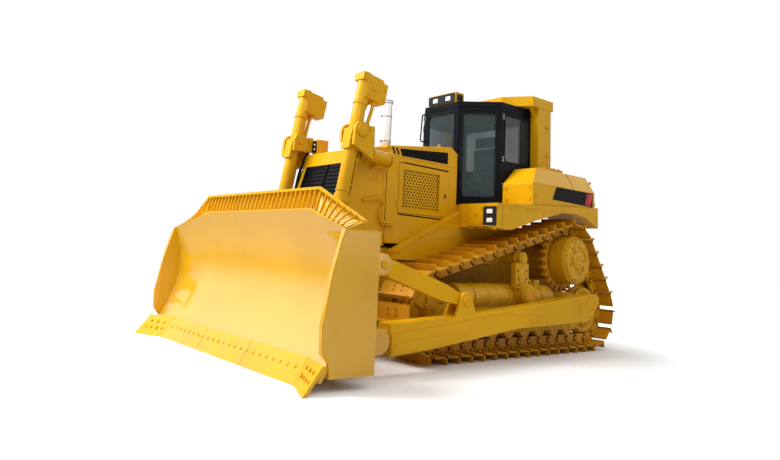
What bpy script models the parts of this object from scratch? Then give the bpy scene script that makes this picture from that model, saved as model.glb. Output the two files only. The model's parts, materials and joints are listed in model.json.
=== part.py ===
"""Crawler bulldozer with a semi-U blade, built as separate parts on real joints.

Front is -Y, the machine's left is +X, up is +Z, and the ground is Z = 0. Metres.
"""

import math

import bmesh
import bpy
from mathutils import Matrix, Vector

# Driving dimensions
GAP = 0.0003  # between pieces that touch
TRACK_X = 1.125  # middle of each track
SHOE_WIDTH = 0.61
LINKS = 43
PIN_HEIGHT = 0.184  # from a grouser's tip up to the pin line
PLATE_LOW, PLATE_HIGH = 0.085, 0.115  # a shoe plate, out from the pin line
RAIL_DEPTH = 0.06  # link rail, in from the pin line
RAIL_IN, RAIL_OUT = 0.05, 0.095  # link rail, across from the track's middle
IDLER_RADIUS = 0.43  # at the pin line
FRONT_IDLER = Vector((-0.92, IDLER_RADIUS + PIN_HEIGHT))  # (y, z)
REAR_IDLER = Vector((2.62, IDLER_RADIUS + PIN_HEIGHT))
SPROCKET_RADIUS = 0.46
SPROCKET = Vector((2.085, 1.38))
SPROCKET_TEETH = 24
HOOD_HALF = 0.62
BLADE_HALF = 2.12
BLADE_BACK = -2.55
ARM_IN, ARM_OUT = 1.53, 1.75
TRUNNION = Vector((1.95, 0.77))  # the blade swings about this line
LIFT_X = 0.70
LIFT_PIVOT = Vector((-1.86, 2.86))
LIFT_EYE = Vector((-2.22, 0.78))
BARREL_ABOVE, BARREL_BELOW, BARREL_RADIUS = 0.72, 0.95, 0.088
ROD_LENGTH, ROD_RADIUS = 1.62, 0.045
BORE_RADIUS = 0.052
BRACE_FOOT = Vector((-0.79, 0.80))
BRACE_HEAD = Vector((-2.16, 1.20))
ARM_EYE = Vector((-2.17, 0.38))
DECK_TOP = 2.10
CAB_FRONT, CAB_CORNER, CAB_BACK = 0.46, 0.92, 1.75
CAB_NOSE_HALF, CAB_HALF, CAB_WALL = 0.36, 0.86, 0.06
CAB_TOP = 3.70
DOOR_THICK, GLASS_THICK = 0.05, 0.012
ENGINE_DOOR = (-0.967, 0.027, 1.888, 2.582)  # y low, y high, z low, z high
FENDER_FRONT, FENDER_BACK = 0.12, 2.68
TANK_FRONT, TANK_BACK, TANK_TOP = 0.95, 2.62, 2.75
SIDES = ((1, "left"), (-1, "right"))


def clear_scene():
    for obj in list(bpy.data.objects):
        bpy.data.objects.remove(obj, do_unlink=True)
    for mesh in list(bpy.data.meshes):
        bpy.data.meshes.remove(mesh)


clear_scene()
PARTS = bpy.data.collections.new("bulldozer")
CUTTERS = bpy.data.collections.new("cutters")
for group in (PARTS, CUTTERS):
    bpy.context.scene.collection.children.link(group)


def material(name, color, roughness, metallic=0.0):
    made = bpy.data.materials.new(name)
    made.use_nodes = True
    shader = made.node_tree.nodes["Principled BSDF"]
    shader.inputs["Base Color"].default_value = (*color, 1.0)
    shader.inputs["Roughness"].default_value = roughness
    shader.inputs["Metallic"].default_value = metallic
    made.diffuse_color = (*color, 1.0)
    return made


FINISHES = {
    "yellow": ((0.80, 0.50, 0.06), 0.40, 0.0),
    "black": ((0.02, 0.02, 0.022), 0.45, 0.0),
    "glass": ((0.10, 0.15, 0.17), 0.05, 0.0),
    "chrome": ((0.80, 0.80, 0.82), 0.12, 1.0),
    "silver": ((0.75, 0.76, 0.78), 0.30, 1.0),
    "steel": ((0.55, 0.36, 0.10), 0.50, 0.0),
    "fabric": ((0.05, 0.05, 0.055), 0.90, 0.0),
    "iron": ((0.20, 0.19, 0.17), 0.60, 0.6),
}


def finish(obj, look):
    """Gives a part its own material, in one of the finishes."""
    color, roughness, metallic = FINISHES[look]
    obj.data.materials.append(material(obj.name, color, roughness, metallic))


def new_object(name, bm, group=PARTS):
    mesh = bpy.data.meshes.new(name)
    bmesh.ops.recalc_face_normals(bm, faces=bm.faces)
    bm.to_mesh(mesh)
    bm.free()
    obj = bpy.data.objects.new(name, mesh)
    group.objects.link(obj)
    return obj


def box(low, high, name="helper", group=CUTTERS):
    bm = bmesh.new()
    bmesh.ops.create_cube(bm, size=1.0)
    low, high = Vector(low), Vector(high)
    bmesh.ops.scale(bm, vec=high - low, verts=bm.verts)
    bmesh.ops.translate(bm, vec=(low + high) / 2, verts=bm.verts)
    return new_object(name, bm, group)


def drum(x_low, x_high, centre, radius, name="helper", group=CUTTERS, sides=32):
    """A cylinder along X, with its centre given as (y, z)."""
    bm = bmesh.new()
    bmesh.ops.create_cone(
        bm, cap_ends=True, segments=sides, radius1=radius, radius2=radius,
        depth=x_high - x_low,
    )
    turn = Matrix.Rotation(math.pi / 2, 4, "Y")
    middle = Vector(((x_low + x_high) / 2, centre[0], centre[1]))
    bmesh.ops.transform(bm, matrix=Matrix.Translation(middle) @ turn, verts=bm.verts)
    obj = new_object(name, bm, group)
    smooth(obj)
    return obj


def rod(start, end, radius, name="helper", group=CUTTERS, sides=24):
    """A cylinder from one point to another."""
    start, end = Vector(start), Vector(end)
    bm = bmesh.new()
    bmesh.ops.create_cone(
        bm, cap_ends=True, segments=sides, radius1=radius, radius2=radius,
        depth=(end - start).length,
    )
    turn = (end - start).to_track_quat("Z", "Y").to_matrix().to_4x4()
    place = Matrix.Translation((start + end) / 2) @ turn
    bmesh.ops.transform(bm, matrix=place, verts=bm.verts)
    obj = new_object(name, bm, group)
    smooth(obj)
    return obj


def smooth(obj):
    obj.data.shade_smooth()
    obj.data.set_sharp_from_angle(angle=math.radians(35))


PLANES = {
    "yz": Matrix(((0, 0, 1, 0), (1, 0, 0, 0), (0, 1, 0, 0), (0, 0, 0, 1))),
    "xz": Matrix(((1, 0, 0, 0), (0, 0, -1, 0), (0, 1, 0, 0), (0, 0, 0, 1))),
    "xy": Matrix.Identity(4),
}


def sheet(outline, low, high, plane="yz", name="helper", group=CUTTERS):
    """A flat outline given thickness from low to high along the plane's normal."""
    curve = bpy.data.curves.new(name, "CURVE")
    curve.dimensions = "2D"
    curve.fill_mode = "BOTH"
    curve.extrude = (high - low) / 2
    spline = curve.splines.new("POLY")
    spline.points.add(len(outline) - 1)
    for point, (u, v) in zip(spline.points, outline):
        point.co = (u, v, 0, 1)
    spline.use_cyclic_u = True
    middle = (low + high) / 2 * (-1 if plane == "xz" else 1)
    return meshed(curve, name, group, PLANES[plane] @ Matrix.Translation((0, 0, middle)))


def meshed(curve, name, group, place):
    """The curve's evaluated shape as a welded mesh object; the curve is removed."""
    holder = bpy.data.objects.new(name, curve)
    CUTTERS.objects.link(holder)
    graph = bpy.context.evaluated_depsgraph_get()
    mesh = bpy.data.meshes.new_from_object(holder.evaluated_get(graph))
    bpy.data.objects.remove(holder, do_unlink=True)
    bm = bmesh.new()
    bm.from_mesh(mesh)
    bmesh.ops.remove_doubles(bm, verts=bm.verts, dist=1e-5)
    bmesh.ops.transform(bm, matrix=place, verts=bm.verts)
    bpy.data.meshes.remove(mesh)
    obj = new_object(name, bm, group)
    smooth(obj)
    return obj


def combine(base, tools, operation):
    for tool in tools:
        tool.hide_render = True
        tool.display_type = "WIRE"
        cut = base.modifiers.new(f"{operation.lower()} {tool.name}", "BOOLEAN")
        cut.operation = operation
        cut.object = tool
    return base


def add(base, *tools):
    return combine(base, tools, "UNION")


def cut(base, *tools):
    return combine(base, tools, "DIFFERENCE")


def part(name, base, look):
    """Turns a shape into the part of this name."""
    base.name = name
    base.data.name = name
    if base.name not in PARTS.objects:
        CUTTERS.objects.unlink(base)
        PARTS.objects.link(base)
    finish(base, look)
    return base


def arc(centre, radius, start, end, steps):
    """Points on an arc, with its angles in degrees."""
    angles = (start + (end - start) * i / steps for i in range(steps + 1))
    return [
        (centre[0] + radius * math.cos(math.radians(a)), centre[1] + radius * math.sin(math.radians(a)))
        for a in angles
    ]


def put_on_joint(name, obj, place):
    """Moves an object's origin to a point and hangs it on an empty there."""
    place = Vector(place)
    obj.data.transform(Matrix.Translation(-place))
    joint = bpy.data.objects.new(name, None)
    joint.location = place
    PARTS.objects.link(joint)
    obj.parent = joint
    return joint


# Undercarriage


def track_path():
    """The pin line as a function of distance along it: (y, z, outward y, outward z)."""
    wheels = ((REAR_IDLER, IDLER_RADIUS), (SPROCKET, SPROCKET_RADIUS), (FRONT_IDLER, IDLER_RADIUS))
    runs = []
    for i, (centre, radius) in enumerate(wheels):
        other, other_radius = wheels[(i + 1) % 3]
        along = other - centre
        # The outer tangent leaves each wheel at this angle, going anticlockwise.
        lean = math.asin((radius - other_radius) / along.length)
        angle = math.atan2(along.y, along.x) - math.pi / 2 + lean
        runs.append((centre, radius, angle, along.length * math.cos(lean)))
    pieces = []
    for i, (centre, radius, angle, length) in enumerate(runs):
        before = runs[i - 1][2]
        sweep = (angle - before) % (2 * math.pi)
        pieces.append(("arc", centre, radius, before, sweep, radius * sweep))
        pieces.append(("line", centre, radius, angle, 0.0, length))
    total = sum(piece[5] for piece in pieces)

    def at(distance):
        distance %= total
        for kind, centre, radius, angle, _, length in pieces:
            if distance <= length:
                if kind == "arc":
                    angle += distance / radius
                out = Vector((math.cos(angle), math.sin(angle)))
                place = centre + out * radius
                if kind == "line":
                    place += Vector((-out.y, out.x)) * distance
                return place, out
            distance -= length
        return at(0)

    return at, total


def shoe_section(tip):
    """One track section as (x from the middle, out from the pin line): a plate on two link rails."""
    half = SHOE_WIDTH / 2
    right = [
        (half, tip), (half, PLATE_LOW), (RAIL_OUT, PLATE_LOW), (RAIL_OUT, -RAIL_DEPTH),
        (RAIL_IN, -RAIL_DEPTH), (RAIL_IN, PLATE_LOW),
    ]
    return right + [(-x, out) for x, out in reversed(right)]


def make_tracks():
    at, total = track_path()
    stations = ((0.05, PLATE_HIGH), (0.135, PIN_HEIGHT), (0.22, PLATE_HIGH))
    for side, label in SIDES:
        bm = bmesh.new()
        loops = []
        for link in range(LINKS):
            for along, tip in stations:
                place, normal = at((link + along) * total / LINKS)
                points = [(side * TRACK_X + x, *(place + normal * out)) for x, out in shoe_section(tip)]
                loops.append([bm.verts.new(point) for point in points])
        for first, second in zip(loops, loops[1:] + loops[:1]):
            for i, corner in enumerate(first):
                after = (i + 1) % len(first)
                bm.faces.new((corner, first[after], second[after], second[i]))
        part(f"track_{label}", new_object("helper", bm, CUTTERS), "steel")


def wheel_profile(radius):
    """Half section of an idler as (radius, x): the rim, its flange, the dish and the hub."""
    return (
        (0.0, 0.13), (0.10, 0.13), (0.10, 0.06), (radius - 0.09, 0.045), (radius - 0.06, 0.10),
        (radius, 0.10), (radius, 0.035), (radius + 0.03, 0.030),
    )


def turned(name, profile, middle_x, centre, steps=24):
    """A wheel about an X axle: the half profile is mirrored about the wheel's middle."""
    points = list(profile) + [(r, -x) for r, x in reversed(profile)]
    bm = bmesh.new()
    verts = [bm.verts.new((r, 0, x)) for r, x in points]
    for first, second in zip(verts, verts[1:]):
        bm.edges.new((first, second))
    obj = new_object(name, bm)
    screw = obj.modifiers.new("turn", "SCREW")
    screw.axis = "Z"
    screw.steps = screw.render_steps = steps
    screw.use_merge_vertices = True
    screw.merge_threshold = 1e-5
    obj.rotation_euler = (0, math.pi / 2, 0)
    obj.location = (middle_x, centre[0], centre[1])
    return obj


def make_wheels():
    for side, label in SIDES:
        middle = side * TRACK_X
        rim = IDLER_RADIUS - RAIL_DEPTH - 0.02
        for where, centre in (("front", FRONT_IDLER), ("rear", REAR_IDLER)):
            wheel = turned(f"{where}_idler_{label}", wheel_profile(rim), middle, centre)
            finish(wheel, "yellow")
        teeth = []
        step = 2 * math.pi / SPROCKET_TEETH
        for tooth in range(SPROCKET_TEETH):
            for turn, radius in ((-0.30, 0.425), (-0.13, 0.50), (0.13, 0.50), (0.30, 0.425)):
                angle = (tooth + turn) * step
                teeth.append((SPROCKET.x + radius * math.cos(angle), SPROCKET.y + radius * math.sin(angle)))
        sprocket = sheet(teeth, middle - 0.04, middle + 0.04)
        cut(sprocket, drum(middle - 0.1, middle + 0.1, SPROCKET, 0.3203))
        part(f"sprocket_{label}", sprocket, "steel")


def make_final_drives():
    for side, label in SIDES:
        def along(a, b):
            return sorted((side * a, side * b))

        case = drum(*along(0.6203, 1.30), SPROCKET, 0.32)
        add(
            case,
            drum(*along(1.19, 1.42), SPROCKET, 0.37),
            drum(*along(1.41, 1.44), SPROCKET, 0.33),
            drum(*along(1.43, 1.475), SPROCKET, 0.09, sides=20),
        )
        part(f"final_drive_{label}", case, "yellow")


def make_roller_frames():
    pivot = Vector((0.86, 0.85))
    carrier = Vector((0.86, 1.365))
    for side, label in SIDES:
        def along(a, b):
            return sorted((side * a, side * b))

        def block(x_low, x_high, y_low, y_high, z_low, z_high):
            (x0, x1) = along(x_low, x_high)
            return box((x0, y_low, z_low), (x1, y_high, z_high))

        frame = rod((side * TRACK_X, -0.42, 0.80), (side * TRACK_X, 1.66, 0.80), 0.19)
        rollers = [
            drum(*along(0.995, 1.255), (-0.40 + 0.36 * i, 0.3668), 0.122, sides=16)
            for i in range(8)
        ]
        add(
            frame,
            block(0.975, 1.275, -0.50, 2.20, 0.50, 0.70),
            block(0.960, 1.000, -0.62, 2.28, 0.335, 0.55),
            block(1.250, 1.290, -0.62, 2.28, 0.335, 0.55),
            block(0.950, 0.990, -1.05, -0.50, 0.53, 0.72),
            block(1.260, 1.300, -1.05, -0.50, 0.53, 0.72),
            block(0.950, 0.990, 2.20, 2.72, 0.53, 0.70),
            block(1.260, 1.300, 2.20, 2.72, 0.53, 0.70),
            *rollers,
            drum(*along(0.95, 1.47), pivot, 0.15),
            drum(*along(1.20, 1.40), TRUNNION, 0.13, sides=24),
            drum(*along(1.39, 1.59), TRUNNION, 0.07, sides=24),
            block(1.27, 1.35, 0.68, 0.98, 0.85, 1.30),
            drum(*along(1.27, 1.35), carrier, 0.09, sides=20),
            drum(*along(0.985, 1.28), carrier, 0.094, sides=24),
        )
        part(f"roller_frame_{label}", frame, "yellow")


# Hull


def make_main_frame():
    hull = [
        (-1.90, 0.78), (-1.70, 0.56), (2.75, 0.56), (2.93, 0.75), (2.93, 1.55),
        (2.70, 1.72), (1.60, 1.72), (1.40, 1.40), (-1.90, 1.40),
    ]
    frame = sheet(hull, -0.56, 0.56)
    add(
        frame,
        drum(-0.62, 0.62, SPROCKET, 0.40),
        drum(-0.9345, 0.9345, (0.86, 0.85), 0.09, sides=24),
        box((-0.9345, -0.66, 0.70), (0.9345, -0.44, 0.92)),
    )
    part("main_frame", frame, "yellow")


def make_rear_hitch():
    bar = box((-0.17, 2.9303, 0.60), (0.17, 3.42, 0.80))
    add(bar, box((-0.34, 2.9303, 0.58), (0.34, 3.02, 1.05)))
    cut(bar, rod((0, 3.30, 0.5), (0, 3.30, 0.9), 0.04))
    part("rear_hitch", bar, "yellow")


def make_engine():
    part("engine", box((-0.40, -1.00, 1.40 + GAP), (0.40, 0.10, 2.45)), "iron")


def nose_outline():
    return [(-1.90, 1.42), (-1.92, 1.96), (-1.75, 2.50), (-1.72, 2.68), (-1.2003, 2.77), (-1.2003, 1.42)]


def make_nose():
    guard = sheet(nose_outline(), -HOOD_HALF, HOOD_HALF)
    cut(guard, box((-0.53, -2.2, 1.62), (0.53, -1.60, 2.49)))
    part("radiator_guard", guard, "yellow")
    grille = [
        (-1.60 - GAP, 1.62 + GAP), (-1.60 - GAP, 2.49 - GAP), (-1.73, 2.49 - GAP),
        (-1.885, 1.97), (-1.87, 1.62 + GAP),
    ]
    part("radiator_grille", sheet(grille, -0.53 + GAP, 0.53 - GAP), "black")


def make_headlamps():
    lamp = [(-1.66, 2.696), (-1.66, 2.91), (-1.46, 2.92), (-1.46, 2.730)]
    for side, label in SIDES:
        low, high = sorted((side * 0.42, side * 0.543))
        part(f"headlamp_{label}", sheet(lamp, low, high), "yellow")


def make_hood():
    outer = [(-1.20, 1.46), (-1.20, 2.79), (0.07, 2.95), (0.20, 2.86), (0.20, 1.46)]
    inner = [(-1.35, 1.30), (-1.35, 2.741), (0.055, 2.917), (0.168, 2.838), (0.168, 1.30)]
    hood = sheet(outer, -HOOD_HALF, HOOD_HALF)
    cut(hood, sheet(inner, -HOOD_HALF + 0.03, HOOD_HALF - 0.03))
    y_low, y_high, z_low, z_high = ENGINE_DOOR
    cut(hood, box((-1, y_low - 0.003, z_low - 0.003), (1, y_high + 0.003, z_high + 0.003)))
    part("hood", hood, "yellow")
    for side, label in SIDES:
        low, high = sorted((side * (HOOD_HALF - 0.028), side * HOOD_HALF))
        door = box((low, y_low, z_low), (high, y_high, z_high))
        part(f"engine_door_{label}", door, "yellow")
        put_on_joint(f"engine door hinge {label}", door, (side * HOOD_HALF, y_low, (z_low + z_high) / 2))


def make_exhaust():
    stack = rod((0, -0.72, 2.863), (0, -0.72, 3.60), 0.08)
    add(stack, rod((0, -0.72, 3.565), (0, -0.72, 3.60), 0.097))
    part("exhaust_stack", stack, "silver")


# Lift gear


def make_lift_yokes():
    for side, label in SIDES:
        def along(a, b):
            return sorted((side * a, side * b))

        ear = arc(LIFT_PIVOT, 0.115, 0, 180, 8) + [(-1.975, 2.72), (-1.66, 2.72), (-1.66, 2.86)]
        outer_ear = arc(LIFT_PIVOT, 0.115, 0, 180, 8) + [(-1.985, 2.66), (-1.66, 2.50), (-1.66, 2.86)]
        yoke = sheet(outer_ear, *along(0.815, 0.865))
        wall_low, wall_high = along(0.56, 0.85)
        arm_low, arm_high = along(0.67, 0.83)
        flange_low, flange_high = along(HOOD_HALF + GAP, 0.70)
        add(
            yoke,
            sheet(ear, *along(0.545, 0.585)),
            box((wall_low, -1.715, 2.74), (wall_high, -1.64, 2.94)),
            box((arm_low, -1.70, 2.52), (arm_high, -1.62, 2.80)),
            rod((side * 0.75, -1.67, 2.59), (side * 0.75, -1.28, 2.56), 0.09, sides=20),
            box((flange_low, -1.48, 2.44), (flange_high, -1.24, 2.70)),
        )
        cut(yoke, drum(*along(0.50, 0.90), LIFT_PIVOT, 0.048, sides=20))
        part(f"lift_yoke_{label}", yoke, "yellow")


def lift_direction():
    return (LIFT_EYE - LIFT_PIVOT).normalized()


def on_lift(distance, across=0.0):
    """(y, z) at a distance down the lift cylinder from its pivot, and across towards the front."""
    down = lift_direction()
    front = Vector((down.y, -down.x))
    return LIFT_PIVOT + down * distance + front * across


def make_lift_cylinders():
    down = lift_direction()
    for side, label in SIDES:
        x = side * LIFT_X

        def point(distance, across=0.0, x=x):
            y, z = on_lift(distance, across)
            return (x, y, z)

        barrel = rod(point(-BARREL_ABOVE), point(BARREL_BELOW), BARREL_RADIUS)
        low, high = x - 0.10, x + 0.10
        valve = [(-0.76, 0.02), (-0.48, 0.02), (-0.48, -0.33), (-0.76, -0.33)]
        head = [(-0.80, 0.10), (-0.70, 0.10), (-0.70, -0.28), (-0.80, -0.25)]
        add(
            barrel,
            drum(x - 0.16, x + 0.16, LIFT_PIVOT, 0.045, sides=20),
            drum(x - 0.105, x + 0.105, LIFT_PIVOT, 0.075, sides=20),
            sheet([on_lift(*place) for place in valve], low, high),
            sheet([on_lift(*place) for place in head], low + 0.005, high - 0.005),
            rod(point(BARREL_BELOW - 0.10), point(BARREL_BELOW), BARREL_RADIUS + 0.012),
        )
        cut(barrel, rod(point(-BARREL_ABOVE + 0.07), point(BARREL_BELOW + 0.02), BORE_RADIUS))
        part(f"lift_barrel_{label}", barrel, "yellow")
        reach = (LIFT_EYE - LIFT_PIVOT).length
        shaft = rod(point(reach - ROD_LENGTH), point(reach - 0.04), ROD_RADIUS)
        add(shaft, drum(x - 0.05, x + 0.05, LIFT_EYE, 0.085, sides=24))
        part(f"lift_rod_{label}", shaft, "chrome")
        pivot = put_on_joint(f"lift pivot {label}", barrel, (x, *LIFT_PIVOT))
        slide = put_on_joint(f"lift slide {label}", shaft, (x, *LIFT_EYE))
        slide.location = Vector((x, *LIFT_EYE)) - Vector((x, *LIFT_PIVOT))
        slide.parent = pivot


# Blade

EDGE_LEAN = math.radians(30)  # the cutting edge, back from upright
EDGE_FOOT = Vector((-3.20, 0.0))
EDGE_TALL, EDGE_THICK = 0.31, 0.045
KINK_LOW, KINK_HIGH = 1.68, 1.28  # where the wings begin, at the foot and the head
WING_FOOT, WING_EDGE = 0.13, 0.22  # how far the wing tips stand ahead
HEAD_MIDDLE, HEAD_TIP = Vector((-2.88, 1.75)), Vector((-3.00, 1.535))
SAG, PLATE = 0.18, 0.05


def up_edge(distance, behind=0.0):
    """(y, z) at a distance up the cutting edge's front face, and behind it."""
    along = Vector((math.sin(EDGE_LEAN), math.cos(EDGE_LEAN)))
    return EDGE_FOOT + along * distance + Vector((along.y, -along.x)) * behind


def mouldboard_section(foot_x, head_x, ahead, head, steps=8):
    """Front curve up from behind the cutting edge, then back down behind it, as (x, y, z)."""
    behind = EDGE_THICK + GAP
    foot = up_edge(EDGE_TALL, behind) - Vector((ahead, 0.0))
    front = [(foot_x, *(up_edge(EDGE_TALL - 0.17, behind) - Vector((ahead, 0.0))))]
    for i in range(steps + 1):
        t = i / steps
        y, z = foot.lerp(head, t)
        front.append((foot_x + (head_x - foot_x) * t, y + SAG * 4 * t * (1 - t), z))
    return front + [(x, y + PLATE, z) for x, y, z in reversed(front)]


def loft(sections):
    """A closed skin through sections of (x, y, z) points, with equal counts."""
    bm = bmesh.new()
    loops = [[bm.verts.new(point) for point in points] for points in sections]
    for first, second in zip(loops, loops[1:]):
        count = len(first)
        for i in range(count):
            bm.faces.new((first[i], first[(i + 1) % count], second[(i + 1) % count], second[i]))
    bm.faces.new(loops[0])
    bm.faces.new(loops[-1])
    bmesh.ops.triangulate(bm, faces=bm.faces)
    return new_object("helper", bm, CUTTERS)


def mirrored(sections):
    """The sections from the left end to the middle, and their mirror images."""
    flipped = [[(-x, y, z) for x, y, z in points] for points in reversed(sections)]
    return sections + flipped


def make_blade():
    tip = mouldboard_section(BLADE_HALF - 0.02, BLADE_HALF - 0.02, WING_FOOT, HEAD_TIP)
    kink = mouldboard_section(KINK_LOW, KINK_HIGH, 0.0, HEAD_MIDDLE)
    blade = loft(mirrored([tip, kink]))
    end_plate = [
        (-3.10, 0.13), (-3.115, 0.28), (-3.20, 0.36), (-3.215, 0.60), (-3.13, 1.10), (-3.01, 1.53),
        (BLADE_BACK, 1.53), (BLADE_BACK, 0.13),
    ]
    web = [
        (-2.96, 0.25), (-2.765, 0.80), (-2.74, 1.20), (-2.80, 1.58),
        (BLADE_BACK, 1.49), (BLADE_BACK, 0.23),
    ]
    pieces = []
    for side, _ in SIDES:
        def across(middle, half, side=side):
            return sorted((side * (middle - half), side * (middle + half)))

        pieces.append(sheet(end_plate, *across(BLADE_HALF - 0.025, 0.025)))
        for x in (LIFT_X, (ARM_IN + ARM_OUT) / 2):
            pieces.append(sheet(web, *across(x, 0.16)))
        for x in (1.553, 1.727):
            for centre, size in ((ARM_EYE, 0.14), (BRACE_HEAD, 0.12)):
                pieces.append(sheet(ear_outline(centre, size), *across(x, 0.023)))
        for x in (LIFT_X - 0.095, LIFT_X + 0.095):
            pieces.append(sheet(ear_outline(LIFT_EYE, 0.13), *across(x, 0.02)))
    lower_beam = [(-3.00, 0.18), (-2.82, 0.58), (BLADE_BACK, 0.57), (BLADE_BACK, 0.18)]
    upper_beam = [(-2.73, 1.10), (-2.77, 1.50), (-2.62, 1.50), (BLADE_BACK, 1.36), (BLADE_BACK, 1.10)]
    for beam in (lower_beam, upper_beam):
        pieces.append(sheet(beam, -BLADE_HALF + 0.03, BLADE_HALF - 0.03))
    part("blade", add(blade, *pieces), "yellow")


def ear_outline(centre, size):
    """A plate that is round about a pin and reaches back to the blade."""
    root = BLADE_BACK - 0.02
    return arc(centre, size, -90, 90, 8) + [(root, centre.y + size), (root, centre.y - size)]


def edge_section(x, ahead_foot, ahead_head):
    """The cutting edge's section at a place across the blade."""
    back_foot = EDGE_THICK / math.cos(EDGE_LEAN)
    corners = (
        (up_edge(0.0), ahead_foot), (up_edge(EDGE_TALL), ahead_head),
        (up_edge(EDGE_TALL, EDGE_THICK), ahead_head), (EDGE_FOOT + Vector((back_foot, 0)), ahead_foot),
    )
    return [(x, y - ahead, z) for (y, z), ahead in corners]


def make_cutting_edge():
    middle = edge_section(KINK_LOW, 0.0, 0.0)
    part("cutting_edge", loft(mirrored([middle])), "yellow")
    for side, label in SIDES:
        ends = (edge_section(KINK_LOW + GAP, 0.0, 0.0), edge_section(2.157, WING_EDGE, WING_FOOT + 0.03))
        bit = loft([[(side * x, y, z) for x, y, z in points] for points in ends])
        part(f"end_bit_{label}", bit, "yellow")


def make_spill_guard():
    """The slatted guard above the blade, leaning back, with a kink at each wing."""
    base = HEAD_TIP.y + GAP
    tip = [(BLADE_HALF, *point) for point in ((-3.00, base), (-2.76, 1.63), (-2.73, 1.60), (-2.74, base))]
    base = HEAD_MIDDLE.y + GAP
    kink = [(KINK_HIGH, -2.88, base), (1.37, -2.83, 2.00), (1.37, -2.79, 2.00), (KINK_HIGH, -2.83, base)]
    part("spill_guard", loft(mirrored([tip, kink])), "yellow")


def make_push_arms():
    beam = [
        (-2.02, 0.21), (-2.02, 0.56), (-0.24, 0.665), (2.10, 0.90), (2.18, 0.84), (2.18, 0.76),
        (1.96, 0.54), (1.86, 0.50), (0.26, 0.45), (-1.48, 0.25),
    ]
    for side, label in SIDES:
        def along(a, b):
            return sorted((side * a, side * b))

        arm = sheet(beam, *along(ARM_IN, ARM_OUT))
        tip = arc(ARM_EYE, 0.11, 90, 270, 8) + [(-2.00, ARM_EYE.y - 0.11), (-2.00, ARM_EYE.y + 0.11)]
        foot = arc(BRACE_FOOT, 0.11, 0, 180, 8) + [(BRACE_FOOT.x - 0.20, 0.60), (BRACE_FOOT.x + 0.20, 0.60)]
        add(
            arm,
            sheet(tip, *along(1.58, 1.70)),
            sheet(foot, *along(ARM_IN, 1.576)),
            sheet(foot, *along(1.704, ARM_OUT)),
        )
        cut(arm, drum(*along(ARM_IN - 0.05, 1.60), TRUNNION, 0.076, sides=24))
        part(f"push_arm_{label}", arm, "yellow")


def make_braces():
    run = BRACE_HEAD - BRACE_FOOT
    ahead = run.normalized()
    up = Vector((-ahead.y, ahead.x)) * -1
    x_low, x_high = 1.58, 1.70

    def at(distance, across):
        return tuple(BRACE_FOOT + ahead * distance + up * across)

    low_line = [at(0.05, -0.06), at(0.34, -0.10), at(run.length - 0.16, -0.10), at(run.length - 0.05, -0.06)]
    high_line = [at(run.length - 0.05, 0.06), at(run.length - 0.16, 0.10), at(0.34, 0.10), at(0.05, 0.06)]
    brace = sheet(low_line + high_line, x_low, x_high)
    for centre in (BRACE_FOOT, BRACE_HEAD):
        add(brace, drum(x_low, x_high, centre, 0.09, sides=24))
    part("brace_left", brace, "yellow")

    def right(distance):
        y, z = BRACE_FOOT + ahead * distance
        return (-1.64, y, z)

    split = 0.84
    barrel = rod(right(0.13), right(split), 0.10)
    add(barrel, drum(-x_high, -x_low, BRACE_FOOT, 0.09, sides=24), rod(right(0.05), right(0.20), 0.055))
    cut(barrel, rod(right(0.35), right(split + 0.05), 0.0603))
    part("tilt_cylinder", barrel, "yellow")
    shaft = rod(right(0.36), right(run.length - 0.05), 0.06)
    add(shaft, drum(-x_high, -x_low, BRACE_HEAD, 0.09, sides=24))
    part("tilt_rod", shaft, "chrome")


# Deck and cab


def make_platform():
    apron = [(-1.15, 1.25), (-1.15, 1.36), (0.38, DECK_TOP), (1.48, DECK_TOP), (1.48, 1.45), (0.9, 1.25)]
    deck = box((-0.74, 0.2003, 2.0), (0.74, 1.48, DECK_TOP))
    for side, _ in SIDES:
        add(deck, sheet(apron, *sorted((side * (HOOD_HALF + GAP), side * 0.76))))
    part("platform", deck, "yellow")


def fender_top(y):
    """The fender's top rises a little towards the back."""
    return DECK_TOP + 0.06 * (y - FENDER_FRONT)


def make_fenders():
    panel = [
        (FENDER_FRONT, 1.76), (FENDER_FRONT, DECK_TOP),
        (FENDER_BACK, fender_top(FENDER_BACK)), (FENDER_BACK, 1.92),
        (2.36, 2.05), (2.10, 2.10), (1.69, 2.09), (1.0, 1.92), (0.45, 1.75), (0.31, 1.74),
    ]
    for side, label in SIDES:
        fender = sheet(panel, *sorted((side * (0.76 + GAP), side * 1.45)))
        low, high = sorted((side * 0.70, side * (CAB_HALF + 0.012)))
        cut(fender, box((low, FENDER_FRONT + 0.1, DECK_TOP), (high, CAB_BACK + 0.03, 2.4)))
        part(f"fender_{label}", fender, "yellow")


def make_tank():
    section = [(-1.43, 2.12), (-1.43, 2.49), (-1.27, TANK_TOP), (1.27, TANK_TOP), (1.43, 2.49), (1.43, 2.12)]
    tank = sheet(section, TANK_FRONT, TANK_BACK, plane="xz")
    front, back = TANK_FRONT - 0.1, TANK_BACK + 0.1
    under = [(front, fender_top(front) + GAP), (back, fender_top(back) + GAP), (back, 2.0), (front, 2.0)]
    cut(tank, sheet(under, -1.5, 1.5))
    above = TANK_TOP + 0.1
    brow = [(front, 2.40), (TANK_FRONT, 2.48), (1.24, TANK_TOP), (1.24, above), (front, above)]
    cut(tank, sheet(brow, -1.5, 1.5))
    cut(tank, box((-0.87, 0.5, 2.0), (0.87, CAB_BACK + 0.03, 3.0)))
    add(tank, rod((1.0, 2.20, TANK_TOP - 0.05), (1.0, 2.20, TANK_TOP + 0.07), 0.06, sides=20))
    part("fuel_tank", tank, "yellow")


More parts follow.
